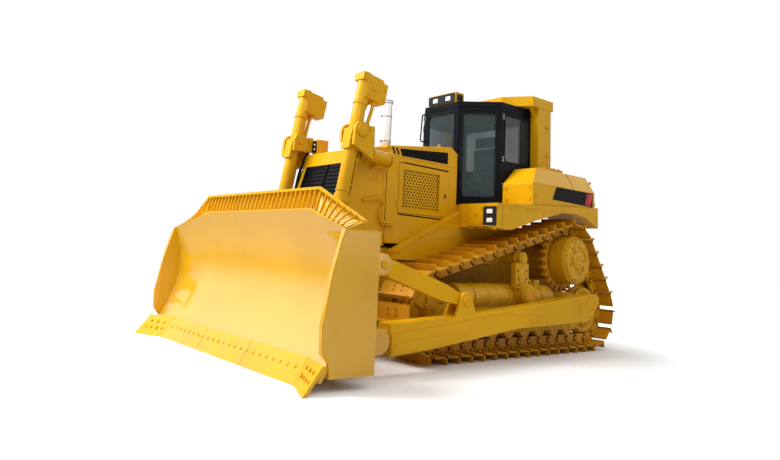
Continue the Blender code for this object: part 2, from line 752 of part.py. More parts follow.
def make_rops():
    canopy = [(-0.62, 1.22), (0.62, 1.22), (1.04, 1.48), (1.04, 2.03), (-1.04, 2.03), (-1.04, 1.48)]
    rops = sheet(canopy, 3.80, 3.965, plane="xy")
    for side, _ in SIDES:
        low, high = sorted((side * 0.875, side * 1.03))
        foot_low, foot_high = sorted((side * 0.875, side * 1.20))
        add(
            rops,
            box((low, 1.64, TANK_TOP + 0.01), (high, 1.98, 3.85)),
            box((foot_low, 1.58, TANK_TOP + GAP), (foot_high, 2.06, TANK_TOP + 0.06)),
        )
    part("rops", rops, "yellow")


def cab_plan(inset):
    """The cab's outline seen from above, drawn in by an inset."""
    slant = Vector((CAB_HALF - CAB_NOSE_HALF, CAB_CORNER - CAB_FRONT)).normalized()
    # Where the inset walls meet, worked out from the two angles at each corner.
    nose = CAB_NOSE_HALF - inset * (1 - slant.x) / slant.y
    side_y = CAB_CORNER + inset * (1 - slant.y) / slant.x
    half = CAB_HALF - inset
    front, back = CAB_FRONT + inset, CAB_BACK - inset
    return [(-nose, front), (nose, front), (half, side_y), (half, back), (-half, back), (-half, side_y)]


DOOR_SLANT = math.atan2(CAB_CORNER - CAB_FRONT, CAB_HALF - CAB_NOSE_HALF)
DOOR_RUN = math.hypot(CAB_CORNER - CAB_FRONT, CAB_HALF - CAB_NOSE_HALF)


def door_box(side, start, end, depth_low, depth_high, z_low, z_high):
    """A box lying in a slanted front wall: from start to end along it, depths measured inwards."""
    obj = box((start, depth_low, z_low), (end, depth_high, z_high))
    turn = Matrix.Rotation(DOOR_SLANT, 4, "Z")
    place = Matrix.Translation((CAB_NOSE_HALF, CAB_FRONT, 0)) @ turn
    if side < 0:
        place = Matrix.Scale(-1, 4, (1, 0, 0)) @ place
    obj.data.transform(place)
    if side < 0:
        obj.data.flip_normals()
    return obj


def make_cab():
    low = DECK_TOP + GAP
    shell = sheet(cab_plan(0.0), low, CAB_TOP, plane="xy")
    cut(shell, sheet(cab_plan(CAB_WALL), low + 0.07, CAB_TOP + 0.1, plane="xy"))
    # Each window's corners, and the way inwards through its wall.
    windows = {
        "windscreen": ((-0.30, CAB_FRONT, 2.35), (0.30, CAB_FRONT, 3.62), (0, 1)),
        "rear_window": ((-0.60, CAB_BACK, 2.86), (0.60, CAB_BACK, 3.58), (0, -1)),
        "side_window_left": ((CAB_HALF, 1.00, 2.84), (CAB_HALF, 1.68, 3.60), (-1, 0)),
        "side_window_right": ((-CAB_HALF, 1.00, 2.84), (-CAB_HALF, 1.68, 3.60), (1, 0)),
    }
    for name, (corner, opposite, inward) in windows.items():
        corner, opposite, inward = Vector(corner), Vector(opposite), Vector((*inward, 0))
        through = Vector(map(abs, inward)) * 0.1
        cut(shell, box(corner - through, opposite + through))
        rim = (Vector((1, 1, 1)) - Vector(map(abs, inward))) * GAP
        outer = corner + rim + inward * GLASS_THICK
        inner = opposite - rim + inward * 2 * GLASS_THICK
        pane_low, pane_high = Vector(map(min, outer, inner)), Vector(map(max, outer, inner))
        part(name, box(pane_low, pane_high), "glass")
    z_low, z_high = low + 0.07, CAB_TOP - 0.06
    start, end = 0.035, DOOR_RUN - 0.035
    for side, label in SIDES:
        cut(shell, door_box(side, start, end, -0.05, 0.12, z_low, z_high))
        door = door_box(side, start + 0.004, end - 0.004, 0.0, DOOR_THICK, z_low + 0.004, z_high - 0.004)
        frame = 0.05
        cut(door, door_box(side, start + frame, end - frame, -0.05, 0.12, z_low + 0.09, z_high - frame))
        part(f"cab_door_{label}", door, "black")
        glass = door_box(
            side, start + frame + GAP, end - frame - GAP, 0.012, 0.012 + GLASS_THICK,
            z_low + 0.09 + GAP, z_high - frame - GAP,
        )
        part(f"door_glass_{label}", glass, "glass")
        along = end - 0.004
        hinge = (
            side * (CAB_NOSE_HALF + along * math.cos(DOOR_SLANT)),
            CAB_FRONT + along * math.sin(DOOR_SLANT),
            (z_low + z_high) / 2,
        )
        joint = put_on_joint(f"cab door hinge {label}", door, hinge)
        glass.data.transform(Matrix.Translation(-Vector(hinge)))
        glass.parent = joint
    part("cab_shell", shell, "black")
    part("cab_roof", sheet(cab_plan(-0.01), CAB_TOP + GAP, 3.78, plane="xy"), "black")
    part("cab_lamp_bar", box((-0.30, 0.46, 3.78 + GAP), (0.30, 0.66, 3.955)), "yellow")


def make_seat():
    floor = DECK_TOP + GAP + 0.07 + GAP
    base = box((-0.22, 1.08, floor), (0.22, 1.50, 2.46))
    part("seat_base", base, "black")
    part("seat_cushion", box((-0.26, 1.02, 2.4603), (0.26, 1.52, 2.60)), "fabric")
    part("seat_back", box((-0.25, 1.53, 2.50), (0.25, 1.66, 3.22)), "fabric")
    dash = [(0.60, floor), (0.60, 2.72), (0.74, 2.80), (0.84, 2.72), (0.80, floor)]
    part("dash_console", sheet(dash, -0.24, 0.24), "black")


def main():
    make_tracks()
    make_wheels()
    make_final_drives()
    make_roller_frames()
    make_main_frame()
    make_rear_hitch()
    make_engine()
    make_nose()
    make_headlamps()
    make_hood()
    make_exhaust()
    make_lift_yokes()
    make_lift_cylinders()
    make_blade()
    make_cutting_edge()
    make_spill_guard()
    make_push_arms()
    make_braces()
    make_platform()
    make_fenders()
    make_tank()
    make_rops()
    make_cab()
    make_seat()


main()
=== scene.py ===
"""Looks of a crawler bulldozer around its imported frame, laid out as an add-on and run as a script.

Front is -Y, the machine's left is +X, up is +Z, the ground is Z = 0, and all sizes are metres.
"""

import json
import math

import bmesh
import bpy
from bpy.props import FloatProperty, FloatVectorProperty, IntProperty, PointerProperty
from bpy.types import Operator, Panel, PropertyGroup
from mathutils import Euler, Matrix, Vector

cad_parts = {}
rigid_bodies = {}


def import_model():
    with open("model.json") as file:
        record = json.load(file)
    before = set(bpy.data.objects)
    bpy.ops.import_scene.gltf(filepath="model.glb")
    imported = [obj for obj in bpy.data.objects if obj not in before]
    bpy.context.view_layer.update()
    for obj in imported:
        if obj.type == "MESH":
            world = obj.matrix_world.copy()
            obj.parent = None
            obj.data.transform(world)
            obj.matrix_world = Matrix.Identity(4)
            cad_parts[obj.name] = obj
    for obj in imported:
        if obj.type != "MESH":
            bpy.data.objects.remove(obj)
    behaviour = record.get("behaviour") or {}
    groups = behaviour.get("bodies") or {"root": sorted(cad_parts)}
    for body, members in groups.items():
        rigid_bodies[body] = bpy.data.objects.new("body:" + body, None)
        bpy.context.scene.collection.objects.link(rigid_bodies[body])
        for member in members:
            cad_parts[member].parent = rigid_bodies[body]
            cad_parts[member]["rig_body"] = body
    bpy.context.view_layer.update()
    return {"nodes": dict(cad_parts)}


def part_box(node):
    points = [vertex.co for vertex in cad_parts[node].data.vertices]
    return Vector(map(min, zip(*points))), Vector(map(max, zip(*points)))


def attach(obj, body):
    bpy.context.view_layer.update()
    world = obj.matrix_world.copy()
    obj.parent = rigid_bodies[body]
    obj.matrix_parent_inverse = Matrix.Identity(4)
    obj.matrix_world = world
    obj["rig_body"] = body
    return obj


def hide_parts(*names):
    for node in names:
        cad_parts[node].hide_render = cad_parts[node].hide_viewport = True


bl_info = {
    "name": "Crawler Bulldozer Looks",
    "version": (1, 0, 0),
    "blender": (4, 5, 0),
    "location": "3D View > Sidebar > Bulldozer",
    "description": "Builds the finished surfaces and fittings of a crawler bulldozer on its frame",
    "category": "Object",
}

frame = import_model()
SIDES = ((1, "left"), (-1, "right"))
LEFT, BACK, UP = Vector((1, 0, 0)), Vector((0, 1, 0)), Vector((0, 0, 1))
AHEAD = -BACK


def centre_of(node):
    low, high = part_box(node)
    return (low + high) / 2


# Sizes that several pieces share
TRACK_X = centre_of("track_left").x
IDLER_FRONT, IDLER_REAR = centre_of("front_idler_left"), centre_of("rear_idler_left")
SPROCKET = centre_of("sprocket_left")
LIFT_PIVOT = Vector((0, -1.86, 2.86))
LIFT_EYE = Vector((0, -2.22, 0.78))
BRACE_EYE, BRACE_FOOT = Vector((0, -2.16, 1.20)), Vector((0, -0.79, 0.80))
ARM_PIVOT = Vector((0, 1.95, 0.77))
LIFT_X = centre_of("lift_barrel_left").x
EDGE_LEAN = math.radians(30)
HOOD_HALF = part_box("hood")[1].x


# Settings


def tint(name, description, default):
    return FloatVectorProperty(
        name=name, description=description, subtype="COLOR", size=3, min=0, max=1, default=default,
    )


def length(name, description, default):
    return FloatProperty(name=name, description=description, default=default, unit="LENGTH")


class PaintSettings(PropertyGroup):
    yellow: tint("Yellow", "The machine's main paint", (0.70, 0.365, 0.004))
    track: tint("Track paint", "Paint on the shoes, links and sprockets", (0.64, 0.300, 0.008))
    black: tint("Black", "Cab and grille paint", (0.005, 0.006, 0.008))
    glass: tint("Glass", "Tint of the cab's windows", (0.022, 0.045, 0.052))
    slash: tint("Slash", "Stripe on the tank's plate", (0.62, 0.012, 0.018))
    gloss: FloatProperty(name="Gloss", description="Coat over the yellow paint", default=0.16, min=0, max=1)


class FastenerSettings(PropertyGroup):
    small: length("Small head", "Radius of a cover screw", 0.011)
    medium: length("Medium head", "Radius of a frame bolt", 0.017)
    large: length("Large head", "Radius of an edge bolt", 0.026)


class TrackSettings(PropertyGroup):
    links: IntProperty(name="Links", description="Shoes on each track", default=43, min=20, max=80)
    idler_line: length("Idler pin line", "Radius of the pin line round an idler", 0.43)
    sprocket_line: length("Sprocket pin line", "Radius of the pin line round the sprocket", 0.46)


class PanelSettings(PropertyGroup):
    hole_rows: IntProperty(name="Hole rows", description="Rows of holes in an engine door", default=13, min=2)
    hole_columns: IntProperty(name="Hole columns", description="Holes in each row", default=12, min=2)
    slats: IntProperty(name="Guard slats", description="Slats across the spill guard", default=44, min=4)
    bars: IntProperty(name="Grille bars", description="Bars up the radiator grille", default=15, min=4)


class StageSettings(PropertyGroup):
    floor: tint("Floor", "Colour of the studio floor", (0.95, 0.95, 0.95))
    sky: FloatProperty(name="Sky", description="Light from the white surroundings", default=0.95, min=0)
    focal: FloatProperty(name="Focal length", description="In millimetres", default=28.53, min=5)


SETTINGS = {
    "bulldozer_paint": PaintSettings,
    "bulldozer_fasteners": FastenerSettings,
    "bulldozer_track": TrackSettings,
    "bulldozer_panels": PanelSettings,
    "bulldozer_stage": StageSettings,
}


def settings(name):
    return getattr(bpy.context.scene, f"bulldozer_{name}")


# Nodes


class Value:
    """One output socket, with arithmetic that adds Math nodes."""

    def __init__(self, tree, socket):
        self.tree, self.socket = tree, socket

    def math(self, operation, *operands, clamp=False):
        kind = {"operation": operation, "use_clamp": clamp}
        return self.tree.node("ShaderNodeMath", kind, dict(enumerate(operands)))[0]

    def __add__(self, other):
        return self.math("ADD", self, other)

    def __sub__(self, other):
        return self.math("SUBTRACT", self, other)

    def __mul__(self, other):
        return self.math("MULTIPLY", self, other)

    def __rsub__(self, other):
        return self.math("SUBTRACT", other, self)

    def __abs__(self):
        return self.math("ABSOLUTE", self)

    __radd__, __rmul__ = __add__, __mul__

    def ease(self, low, high):
        """0 below low, 1 above high, and smooth between them."""
        limits = {0: self, 1: low, 2: high, 3: 0.0, 4: 1.0}
        return self.tree.node("ShaderNodeMapRange", {"interpolation_type": "SMOOTHSTEP"}, limits)[0]


class Tree:
    """A node tree under construction; node() adds one of any type and gives its outputs."""

    def __init__(self, group):
        self.group = group

    def node(self, kind, options=None, values=None):
        made = self.group.nodes.new(kind)
        for key, value in (options or {}).items():
            if key == "stops":
                self.set_stops(made.color_ramp, value)
            else:
                setattr(made, key, value)
        for key, value in (values or {}).items():
            value = value.socket if isinstance(value, Value) else value
            if isinstance(value, bpy.types.NodeSocket):
                self.group.links.new(value, made.inputs[key])
            else:
                made.inputs[key].default_value = value
        return Outputs(self, made)

    @staticmethod
    def set_stops(ramp, stops):
        while len(ramp.elements) < len(stops):
            ramp.elements.new(1.0)
        for element, (place, colour) in zip(ramp.elements, stops):
            element.position, element.color = place, (*colour, 1.0)


class Outputs:
    """A node's outputs by name or number, as Values."""

    def __init__(self, tree, made):
        self.tree, self.made = tree, made

    def __getitem__(self, key):
        return Value(self.tree, self.made.outputs[key])


class Finish(Tree):
    """A material: patterns on Object coordinates that feed one Principled shader."""

    def __init__(self, name, roughness, metallic=0.0, **fixed):
        self.material = bpy.data.materials.new(name)
        self.material.use_nodes = True
        super().__init__(self.material.node_tree)
        self.group.nodes.clear()
        self.surface = self.node("ShaderNodeBsdfPrincipled").made
        self.surface.inputs["Roughness"].default_value = roughness
        self.surface.inputs["Metallic"].default_value = metallic
        for key, value in fixed.items():
            self.surface.inputs[key.replace("_", " ")].default_value = value
        self.node("ShaderNodeOutputMaterial", None, {"Surface": self.surface.outputs[0]})
        self.place = self.node("ShaderNodeTexCoord")["Object"]
        self.axes = self.node("ShaderNodeSeparateXYZ", None, {0: self.place})

    def noise(self, scale, detail=2.0, stretch=(1, 1, 1)):
        place = self.node("ShaderNodeMapping", None, {"Vector": self.place, "Scale": stretch})[0]
        values = {"Vector": place, "Scale": scale, "Detail": detail}
        return self.node("ShaderNodeTexNoise", None, values)["Fac"]

    def mix(self, factor, first, second):
        """A colour between two colours; each is a socket or three numbers."""
        chosen = {
            key: colour if isinstance(colour, Value) else (*colour, 1.0)
            for key, colour in ((6, first), (7, second))
        }
        return self.node("ShaderNodeMix", {"data_type": "RGBA"}, {0: factor, **chosen})[2]

    def bump(self, height, strength, distance):
        values = {"Height": height, "Strength": strength, "Distance": distance}
        return self.node("ShaderNodeBump", None, values)[0]

    def feed(self, **links):
        for key, value in links.items():
            self.group.links.new(value.socket, self.surface.inputs[key.replace("_", " ")])
        return self.material


def shade(colour, factor):
    return tuple(min(1.0, part * factor) for part in colour)


def painted(name, colour, roughness, coat, wave=1.0, low_brown=0.10, glaze=1.5):
    """Sprayed paint: a faint drift of tone, fine orange peel, and brown streaks that grow towards the bottom.
    """
    finish = Finish(name, roughness, Specular_IOR_Level=0.07, Coat_Weight=coat, Coat_Roughness=0.05,
                    Coat_IOR=glaze)
    drift = finish.noise(0.9, 3.0).ease(0.3, 0.7)
    streak = finish.noise(3.0, 4.0, (1.0, 1.0, 0.25)).ease(0.35, 0.75)
    low = 1 - finish.axes["Z"].ease(0.0, 0.9)
    base = finish.mix(drift, shade(colour, 0.93), shade(colour, 1.05))
    base = finish.mix(streak * 0.10, base, shade(colour, 1.25))
    # Brown streaks that grow towards the bottom, below 0.9 m.
    base = finish.mix(low * streak * low_brown, base, (0.30, 0.22, 0.13))
    peel = finish.noise(140.0, 2.0) + finish.noise(16.0, 2.0) * wave
    rough = roughness + (finish.noise(7.0, 4.0) - 0.5) * 0.16 + low * 0.08
    return finish.feed(Base_Color=base, Roughness=rough, Normal=finish.bump(peel, 0.05, 0.002))


def cast(name, colour):
    """Painted rough casting or forging: pitted, and dusty in its hollows."""
    finish = Finish(name, 0.5, Specular_IOR_Level=0.25, Coat_Weight=0.05, Coat_Roughness=0.25)
    grain = finish.noise(55.0, 5.0)
    patch = finish.noise(5.0, 4.0).ease(0.4, 0.72)
    base = finish.mix(patch * 0.45, colour, shade(colour, 0.62))
    base = finish.mix(grain.ease(0.6, 0.8) * 0.25, base, shade(colour, 1.35))
    rough = 0.42 + patch * 0.22
    return finish.feed(Base_Color=base, Roughness=rough, Normal=finish.bump(grain, 0.25, 0.004))


def dark(name, colour, roughness, grain=90.0, strength=0.15):
    """Black paint, rubber or plastic with a fine texture and worn, greyer patches."""
    finish = Finish(name, roughness, Specular_IOR_Level=0.06)
    speck = finish.noise(grain, 3.0)
    worn = finish.noise(4.0, 4.0).ease(0.45, 0.8)
    lighter = tuple(part * 1.5 + 0.002 for part in colour)
    base = finish.mix(worn * 0.5, colour, lighter)
    rough = roughness + worn * 0.12
    return finish.feed(Base_Color=base, Roughness=rough, Normal=finish.bump(speck, strength, 0.001))


def tinted_glass(name, colour):
    """Tinted glass that shows the cab inside, with a slow change of tone as curved panes have."""
    finish = Finish(name, 0.03, IOR=1.5)
    sweep = finish.noise(1.3, 1.0, (1.0, 1.0, 0.5)).ease(0.3, 0.7)
    base = finish.mix(sweep, shade(colour, 0.7), shade(colour, 1.5))
    alpha = 0.58 - sweep * 0.16
    rough = 0.03 + finish.noise(30.0, 3.0) * 0.03
    return finish.feed(Base_Color=base, Roughness=rough, Alpha=alpha)


def metal(name, colour, roughness, stretch=(1, 1, 1)):
    """Bare metal with fine machining marks."""
    finish = Finish(name, roughness, 1.0)
    marks = finish.noise(120.0, 3.0, stretch)
    base = finish.mix(finish.noise(3.0, 3.0), shade(colour, 0.86), colour)
    rough = roughness + (marks - 0.5) * 0.14
    return finish.feed(Base_Color=base, Roughness=rough, Normal=finish.bump(marks, 0.06, 0.001))


def heat_stained(name):
    """The exhaust's bright aluminised steel, browner near its foot and sooty at the outlet."""
    finish = Finish(name, 0.34, 0.55)
    low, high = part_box("exhaust_stack")
    foot = 1 - finish.axes["Z"].ease(low.z, low.z + 0.22)
    soot = finish.axes["Z"].ease(high.z - 0.06, high.z)
    bright = finish.mix(finish.noise(6.0, 3.0), (0.74, 0.75, 0.77), (0.88, 0.88, 0.89))
    base = finish.mix(foot * 0.5, bright, (0.40, 0.30, 0.18))
    base = finish.mix(soot * 0.55, base, (0.10, 0.10, 0.10))
    rough = 0.30 + finish.noise(40.0, 3.0) * 0.12
    return finish.feed(Base_Color=base, Roughness=rough)


def woven(name, colour):
    """Seat cloth: two crossing waves of thread over soft mottling."""
    finish = Finish(name, 0.92, Sheen_Weight=0.4, Sheen_Roughness=0.5)
    threads = [
        finish.node("ShaderNodeTexWave", {"bands_direction": axis, "wave_profile": "SIN"},
                    {"Vector": finish.place, "Scale": 190.0, "Distortion": 0.6})["Fac"]
        for axis in ("X", "Z")
    ]
    weave = threads[0] * threads[1]
    mottle = finish.noise(22.0, 4.0)
    base = finish.mix(weave * 0.7 + mottle * 0.3, shade(colour, 0.55), shade(colour, 1.9))
    return finish.feed(Base_Color=base, Normal=finish.bump(weave, 0.5, 0.0015))


def lens_with_painted_glow(name, colour, strength):
    """A lamp's ribbed lens, with a painted glow that makes it bright as in full studio light."""
    finish = Finish(name, 0.12, Coat_Weight=1.0, Emission_Strength=strength)
    values = {"Vector": finish.place, "Scale": 28.0}
    ribs = finish.node("ShaderNodeTexWave", {"bands_direction": "X"}, values)["Fac"]
    base = finish.mix(ribs, shade(colour, 0.62), colour)
    return finish.feed(Base_Color=base, Emission_Color=base, Normal=finish.bump(ribs, 0.4, 0.003))


MATERIALS = {}


def material(name):
    return MATERIALS[name]


# Meshes

PLANES = {
    "yz": Matrix(((0, 0, 1, 0), (1, 0, 0, 0), (0, 1, 0, 0), (0, 0, 0, 1))),
    "xz": Matrix(((1, 0, 0, 0), (0, 0, 1, 0), (0, 1, 0, 0), (0, 0, 0, 1))),
    "xy": Matrix.Identity(4),
}


def rounded(outline, radius, steps=3):
    """The outline with each corner replaced by an arc-like run of points."""
    points = [Vector(p) for p in outline]
    made = []
    for i, corner in enumerate(points):
        before, after = points[i - 1], points[(i + 1) % len(points)]
        reach = min(radius, (before - corner).length * 0.45, (after - corner).length * 0.45)
        start = corner + (before - corner).normalized() * reach
        end = corner + (after - corner).normalized() * reach
        for step in range(steps + 1):
            t = step / steps
            made.append((1 - t) ** 2 * start + 2 * t * (1 - t) * corner + t * t * end)
    return [tuple(p) for p in made]


def arc(centre, radius, start, end, steps):
    angles = (math.radians(start + (end - start) * i / steps) for i in range(steps + 1))
    return [(centre[0] + radius * math.cos(a), centre[1] + radius * math.sin(a)) for a in angles]


def rectangle(low_u, low_v, high_u, high_v, radius=0.0, steps=3):
    corners = [(low_u, low_v), (high_u, low_v), (high_u, high_v), (low_u, high_v)]
    return rounded(corners, radius, steps) if radius else corners


class Shape:
    """Simple closed forms gathered in one mesh, which piece() then hands over."""

    def __init__(self):
        self.bm = bmesh.new()

    def take(self, other, place):
        """Adds the forms of another bmesh, placed by a matrix, with its faces turned outwards."""
        bmesh.ops.transform(other, matrix=place, verts=other.verts)
        bmesh.ops.recalc_face_normals(other, faces=other.faces)
        held = bpy.data.meshes.new("held")
        other.to_mesh(held)
        other.free()
        self.bm.from_mesh(held)
        bpy.data.meshes.remove(held)
        return self

    def box(self, low, high, turn=None, about=None):
        low, high = Vector(map(min, low, high)), Vector(map(max, low, high))
        form = bmesh.new()
        bmesh.ops.create_cube(form, size=1.0)
        bmesh.ops.scale(form, vec=high - low, verts=form.verts)
        place = Matrix.Translation((low + high) / 2)
        if turn is not None:
            pivot = Matrix.Translation(about or (low + high) / 2)
            place = pivot @ turn.to_matrix().to_4x4() @ pivot.inverted() @ place
        return self.take(form, place)

    def drum(self, start, end, radius, sides=24, end_radius=None):
        start, end = Vector(start), Vector(end)
        form = bmesh.new()
        bmesh.ops.create_cone(
            form, cap_ends=True, segments=sides, radius1=radius,
            radius2=radius if end_radius is None else end_radius, depth=(end - start).length,
        )
        turn = (end - start).to_track_quat("Z", "Y").to_matrix().to_4x4()
        return self.take(form, Matrix.Translation((start + end) / 2) @ turn)

    def turned(self, profile, centre, axis, sides=32):
        """A body turned about an axis; the profile is (radius, distance along the axis) from end to end."""
        form = bmesh.new()
        rings = []
        for radius, along in profile:
            if radius < 1e-6:
                rings.append([form.verts.new((0, 0, along))])
                continue
            steps = (2 * math.pi * i / sides for i in range(sides))
            rings.append([form.verts.new((radius * math.cos(a), radius * math.sin(a), along)) for a in steps])
        closed = zip(rings, rings[1:]) if len(rings[0]) == 1 else zip(rings, rings[1:] + rings[:1])
        for first, second in closed:
            for i in range(sides):
                j = (i + 1) % sides
                corners = ((first, i), (first, j), (second, j), (second, i))
                form.faces.new(list(dict.fromkeys(ring[k % len(ring)] for ring, k in corners)))
        turn = Vector(axis).to_track_quat("Z", "Y").to_matrix().to_4x4()
        return self.take(form, Matrix.Translation(Vector(centre)) @ turn)

    def cap(self, radius, top_radius, height, centre, axis, sides=32):
        """A low round cap that stands on a face, narrower at its top."""
        return self.turned(((0.0, 0.0), (radius, 0.0), (top_radius, height), (0.0, height)), centre, axis,
                           sides)

    def ring(self, inner, outer, half, centre, axis, sides=32):
        """A square-edged ring; half of its width lies on each side of its centre."""
        return self.turned(((inner, -half), (outer, -half), (outer, half), (inner, half)), centre, axis,
                           sides)

    def plate(self, outline, low, high, plane="yz", place=None, holes=()):
        """A flat outline with any holes, given thickness from low to high across its plane."""
        form = bmesh.new()
        edges = []
        for loop in (outline, *holes):
            verts = [form.verts.new((u, v, 0)) for u, v in loop]
            edges += [form.edges.new((a, b)) for a, b in zip(verts, verts[1:] + verts[:1])]
        bmesh.ops.triangle_fill(form, edges=edges, use_beauty=True, use_dissolve=False)
        if not holes:
            bmesh.ops.dissolve_limit(form, angle_limit=0.01, verts=form.verts, edges=form.edges)
        low, high = min(low, high), max(low, high)
        made = bmesh.ops.extrude_face_region(form, geom=form.faces[:])
        raised = [item for item in made["geom"] if isinstance(item, bmesh.types.BMVert)]
        bmesh.ops.translate(form, vec=(0, 0, high - low), verts=raised)
        bmesh.ops.translate(form, vec=(0, 0, low), verts=form.verts)
        return self.take(form, (place or Matrix.Identity(4)) @ PLANES[plane])

    def tube(self, points, radius, sides=10, bend=0.05, steps=4):
        """A round bar through the points, with its corners bent to a radius."""
        path = smooth_path(points, bend, steps)
        form = bmesh.new()
        rings, across = [], None
        for i, place in enumerate(path):
            along = (path[min(i + 1, len(path) - 1)] - path[max(i - 1, 0)]).normalized()
            side = across or (Vector((0, 0, 1)) if abs(along.z) < 0.9 else BACK)
            across = (side - along * side.dot(along)).normalized()
            other = along.cross(across)
            turns = (2 * math.pi * k / sides for k in range(sides))
            rings.append(
                [form.verts.new(place + (across * math.cos(a) + other * math.sin(a)) * radius) for a in turns]
            )
        for first, second in zip(rings, rings[1:]):
            for k in range(sides):
                form.faces.new((first[k], first[(k + 1) % sides], second[(k + 1) % sides], second[k]))
        form.faces.new(rings[0])
        form.faces.new(rings[-1])
        return self.take(form, Matrix.Identity(4))

    def skin(self, sections):
        """A closed skin through sections of (x, y, z) points."""
        form = bmesh.new()
        loops = [[form.verts.new(point) for point in points] for points in sections]
        for first, second in zip(loops, loops[1:]):
            for i in range(len(first)):
                j = (i + 1) % len(first)
                form.faces.new((first[i], first[j], second[j], second[i]))
        form.faces.new(loops[0])
        form.faces.new(loops[-1])
        return self.take(form, Matrix.Identity(4))

    def mesh(self, name):
        made = bpy.data.meshes.new(name)
        self.bm.to_mesh(made)
        self.bm.free()
        return made

    def piece(self, name, finish, body="root", slot=None, bevel=0.0, replaces=()):
        return hand_over(name, self.mesh(name), finish, body, slot, bevel, replaces)


def smooth_path(points, bend, steps):
    """The points with each inner corner rounded."""
    points = [Vector(p) for p in points]
    path = [points[0]]
    for before, corner, after in zip(points, points[1:], points[2:]):
        reach = min(bend, (before - corner).length * 0.45, (after - corner).length * 0.45)
        start = corner + (before - corner).normalized() * reach
        end = corner + (after - corner).normalized() * reach
        for step in range(steps + 1):
            t = step / steps
            path.append((1 - t) ** 2 * start + 2 * t * (1 - t) * corner + t * t * end)
    return path + [points[-1]]


def hand_over(name, mesh, finish, body, slot=None, bevel=0.0, replaces=()):
    """A mesh becomes a piece that rides on a body, with its finish and softened edges."""
    mesh.name = name
    obj = bpy.data.objects.new(name, mesh)
    bpy.context.scene.collection.objects.link(obj)
    if finish:
        mesh.materials.clear()
        mesh.materials.append(material(finish))
    mesh.shade_smooth()
    mesh.set_sharp_from_angle(angle=math.radians(32))
    if bevel:
        soften(obj, bevel)
    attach(obj, body)
    if replaces:
        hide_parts(*replaces)
    return obj


def soften(obj, width, segments=2):
    edges = obj.modifiers.new("edges", "BEVEL")
    edges.width, edges.segments = width, segments
    edges.limit_method, edges.angle_limit = "ANGLE", math.radians(38)
    edges.use_clamp_overlap = True
    edges.harden_normals = True
    return edges


def body_of(node):
    return frame["nodes"][node]["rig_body"]


def softened(node, finish, slot="yellow_paint", bevel=0.006):
    """A welded copy of a CAD node with rounded edges, which stands for it."""
    form = bmesh.new()
    form.from_mesh(frame["nodes"][node].data)
    bmesh.ops.remove_doubles(form, verts=form.verts, dist=1e-5)
    bmesh.ops.dissolve_limit(form, angle_limit=math.radians(0.6), verts=form.verts, edges=form.edges)
    mesh = bpy.data.meshes.new(node)
    form.to_mesh(mesh)
    form.free()
    return hand_over(f"{node}_finished", mesh, finish, body_of(node), slot, bevel, (node,))


# Repeated forms, by Geometry Nodes


class Pattern(Tree):
    """A Geometry Nodes tree with named inputs, which run() turns into a plain mesh."""

    def __init__(self, name):
        super().__init__(bpy.data.node_groups.new(name, "GeometryNodeTree"))
        self.group.interface.new_socket("Geometry", in_out="OUTPUT", socket_type="NodeSocketGeometry")
        self.entry = self.node("NodeGroupInput")
        self.sockets = {}

    def input(self, name, kind, value=None):
        socket = self.group.interface.new_socket(name, in_out="INPUT", socket_type=f"NodeSocket{kind}")
        if value is not None:
            socket.default_value = value
        self.sockets[name] = socket.identifier
        return self.entry[name]

    def close(self, geometry):
        """Realises the copies, sets the finish and ends the tree."""
        finish = self.input("Finish", "Material")
        real = self.node("GeometryNodeRealizeInstances", None, {0: geometry})[0]
        done = self.node("GeometryNodeSetMaterial", None, {"Geometry": real, "Material": finish})[0]
        self.node("NodeGroupOutput", None, {0: done})
        return self

    def join(self, *parts):
        joined = self.node("GeometryNodeJoinGeometry").made
        for part in parts:
            self.group.links.new(part.socket, joined.inputs[0])
        return Value(self, joined.outputs[0])

    def moved(self, geometry, offset):
        return self.node("GeometryNodeTransform", None, {"Geometry": geometry, "Translation": offset})[0]

    def vector(self, x=0.0, y=0.0, z=0.0):
        return self.node("ShaderNodeCombineXYZ", None, {0: x, 1: y, 2: z})[0]

    def run(self, name, start, finish, values):
        """The plain mesh that the tree makes from a start mesh and values for its inputs."""
        holder = bpy.data.objects.new(name, start)
        bpy.context.scene.collection.objects.link(holder)
        modifier = holder.modifiers.new("pattern", "NODES")
        modifier.node_group = self.group
        for key, value in {**values, "Finish": material(finish)}.items():
            modifier[self.sockets[key]] = value
        holder.update_tag()
        graph = bpy.context.evaluated_depsgraph_get()
        mesh = bpy.data.meshes.new_from_object(holder.evaluated_get(graph))
        holder.modifiers.clear()
        bpy.data.objects.remove(holder, do_unlink=True)
        if not mesh.polygons:
            raise RuntimeError(f"the pattern for {name} made no faces")
        return mesh


def spots_mesh(spots):
    """A mesh of loose points, each with the direction that it faces."""
    mesh = bpy.data.meshes.new("spots")
    mesh.from_pydata([tuple(place) for place, _ in spots], [], [])
    facing = mesh.attributes.new("facing", "FLOAT_VECTOR", "POINT")
    for item, (_, direction) in zip(facing.data, spots):
        item.vector = direction
    return mesh


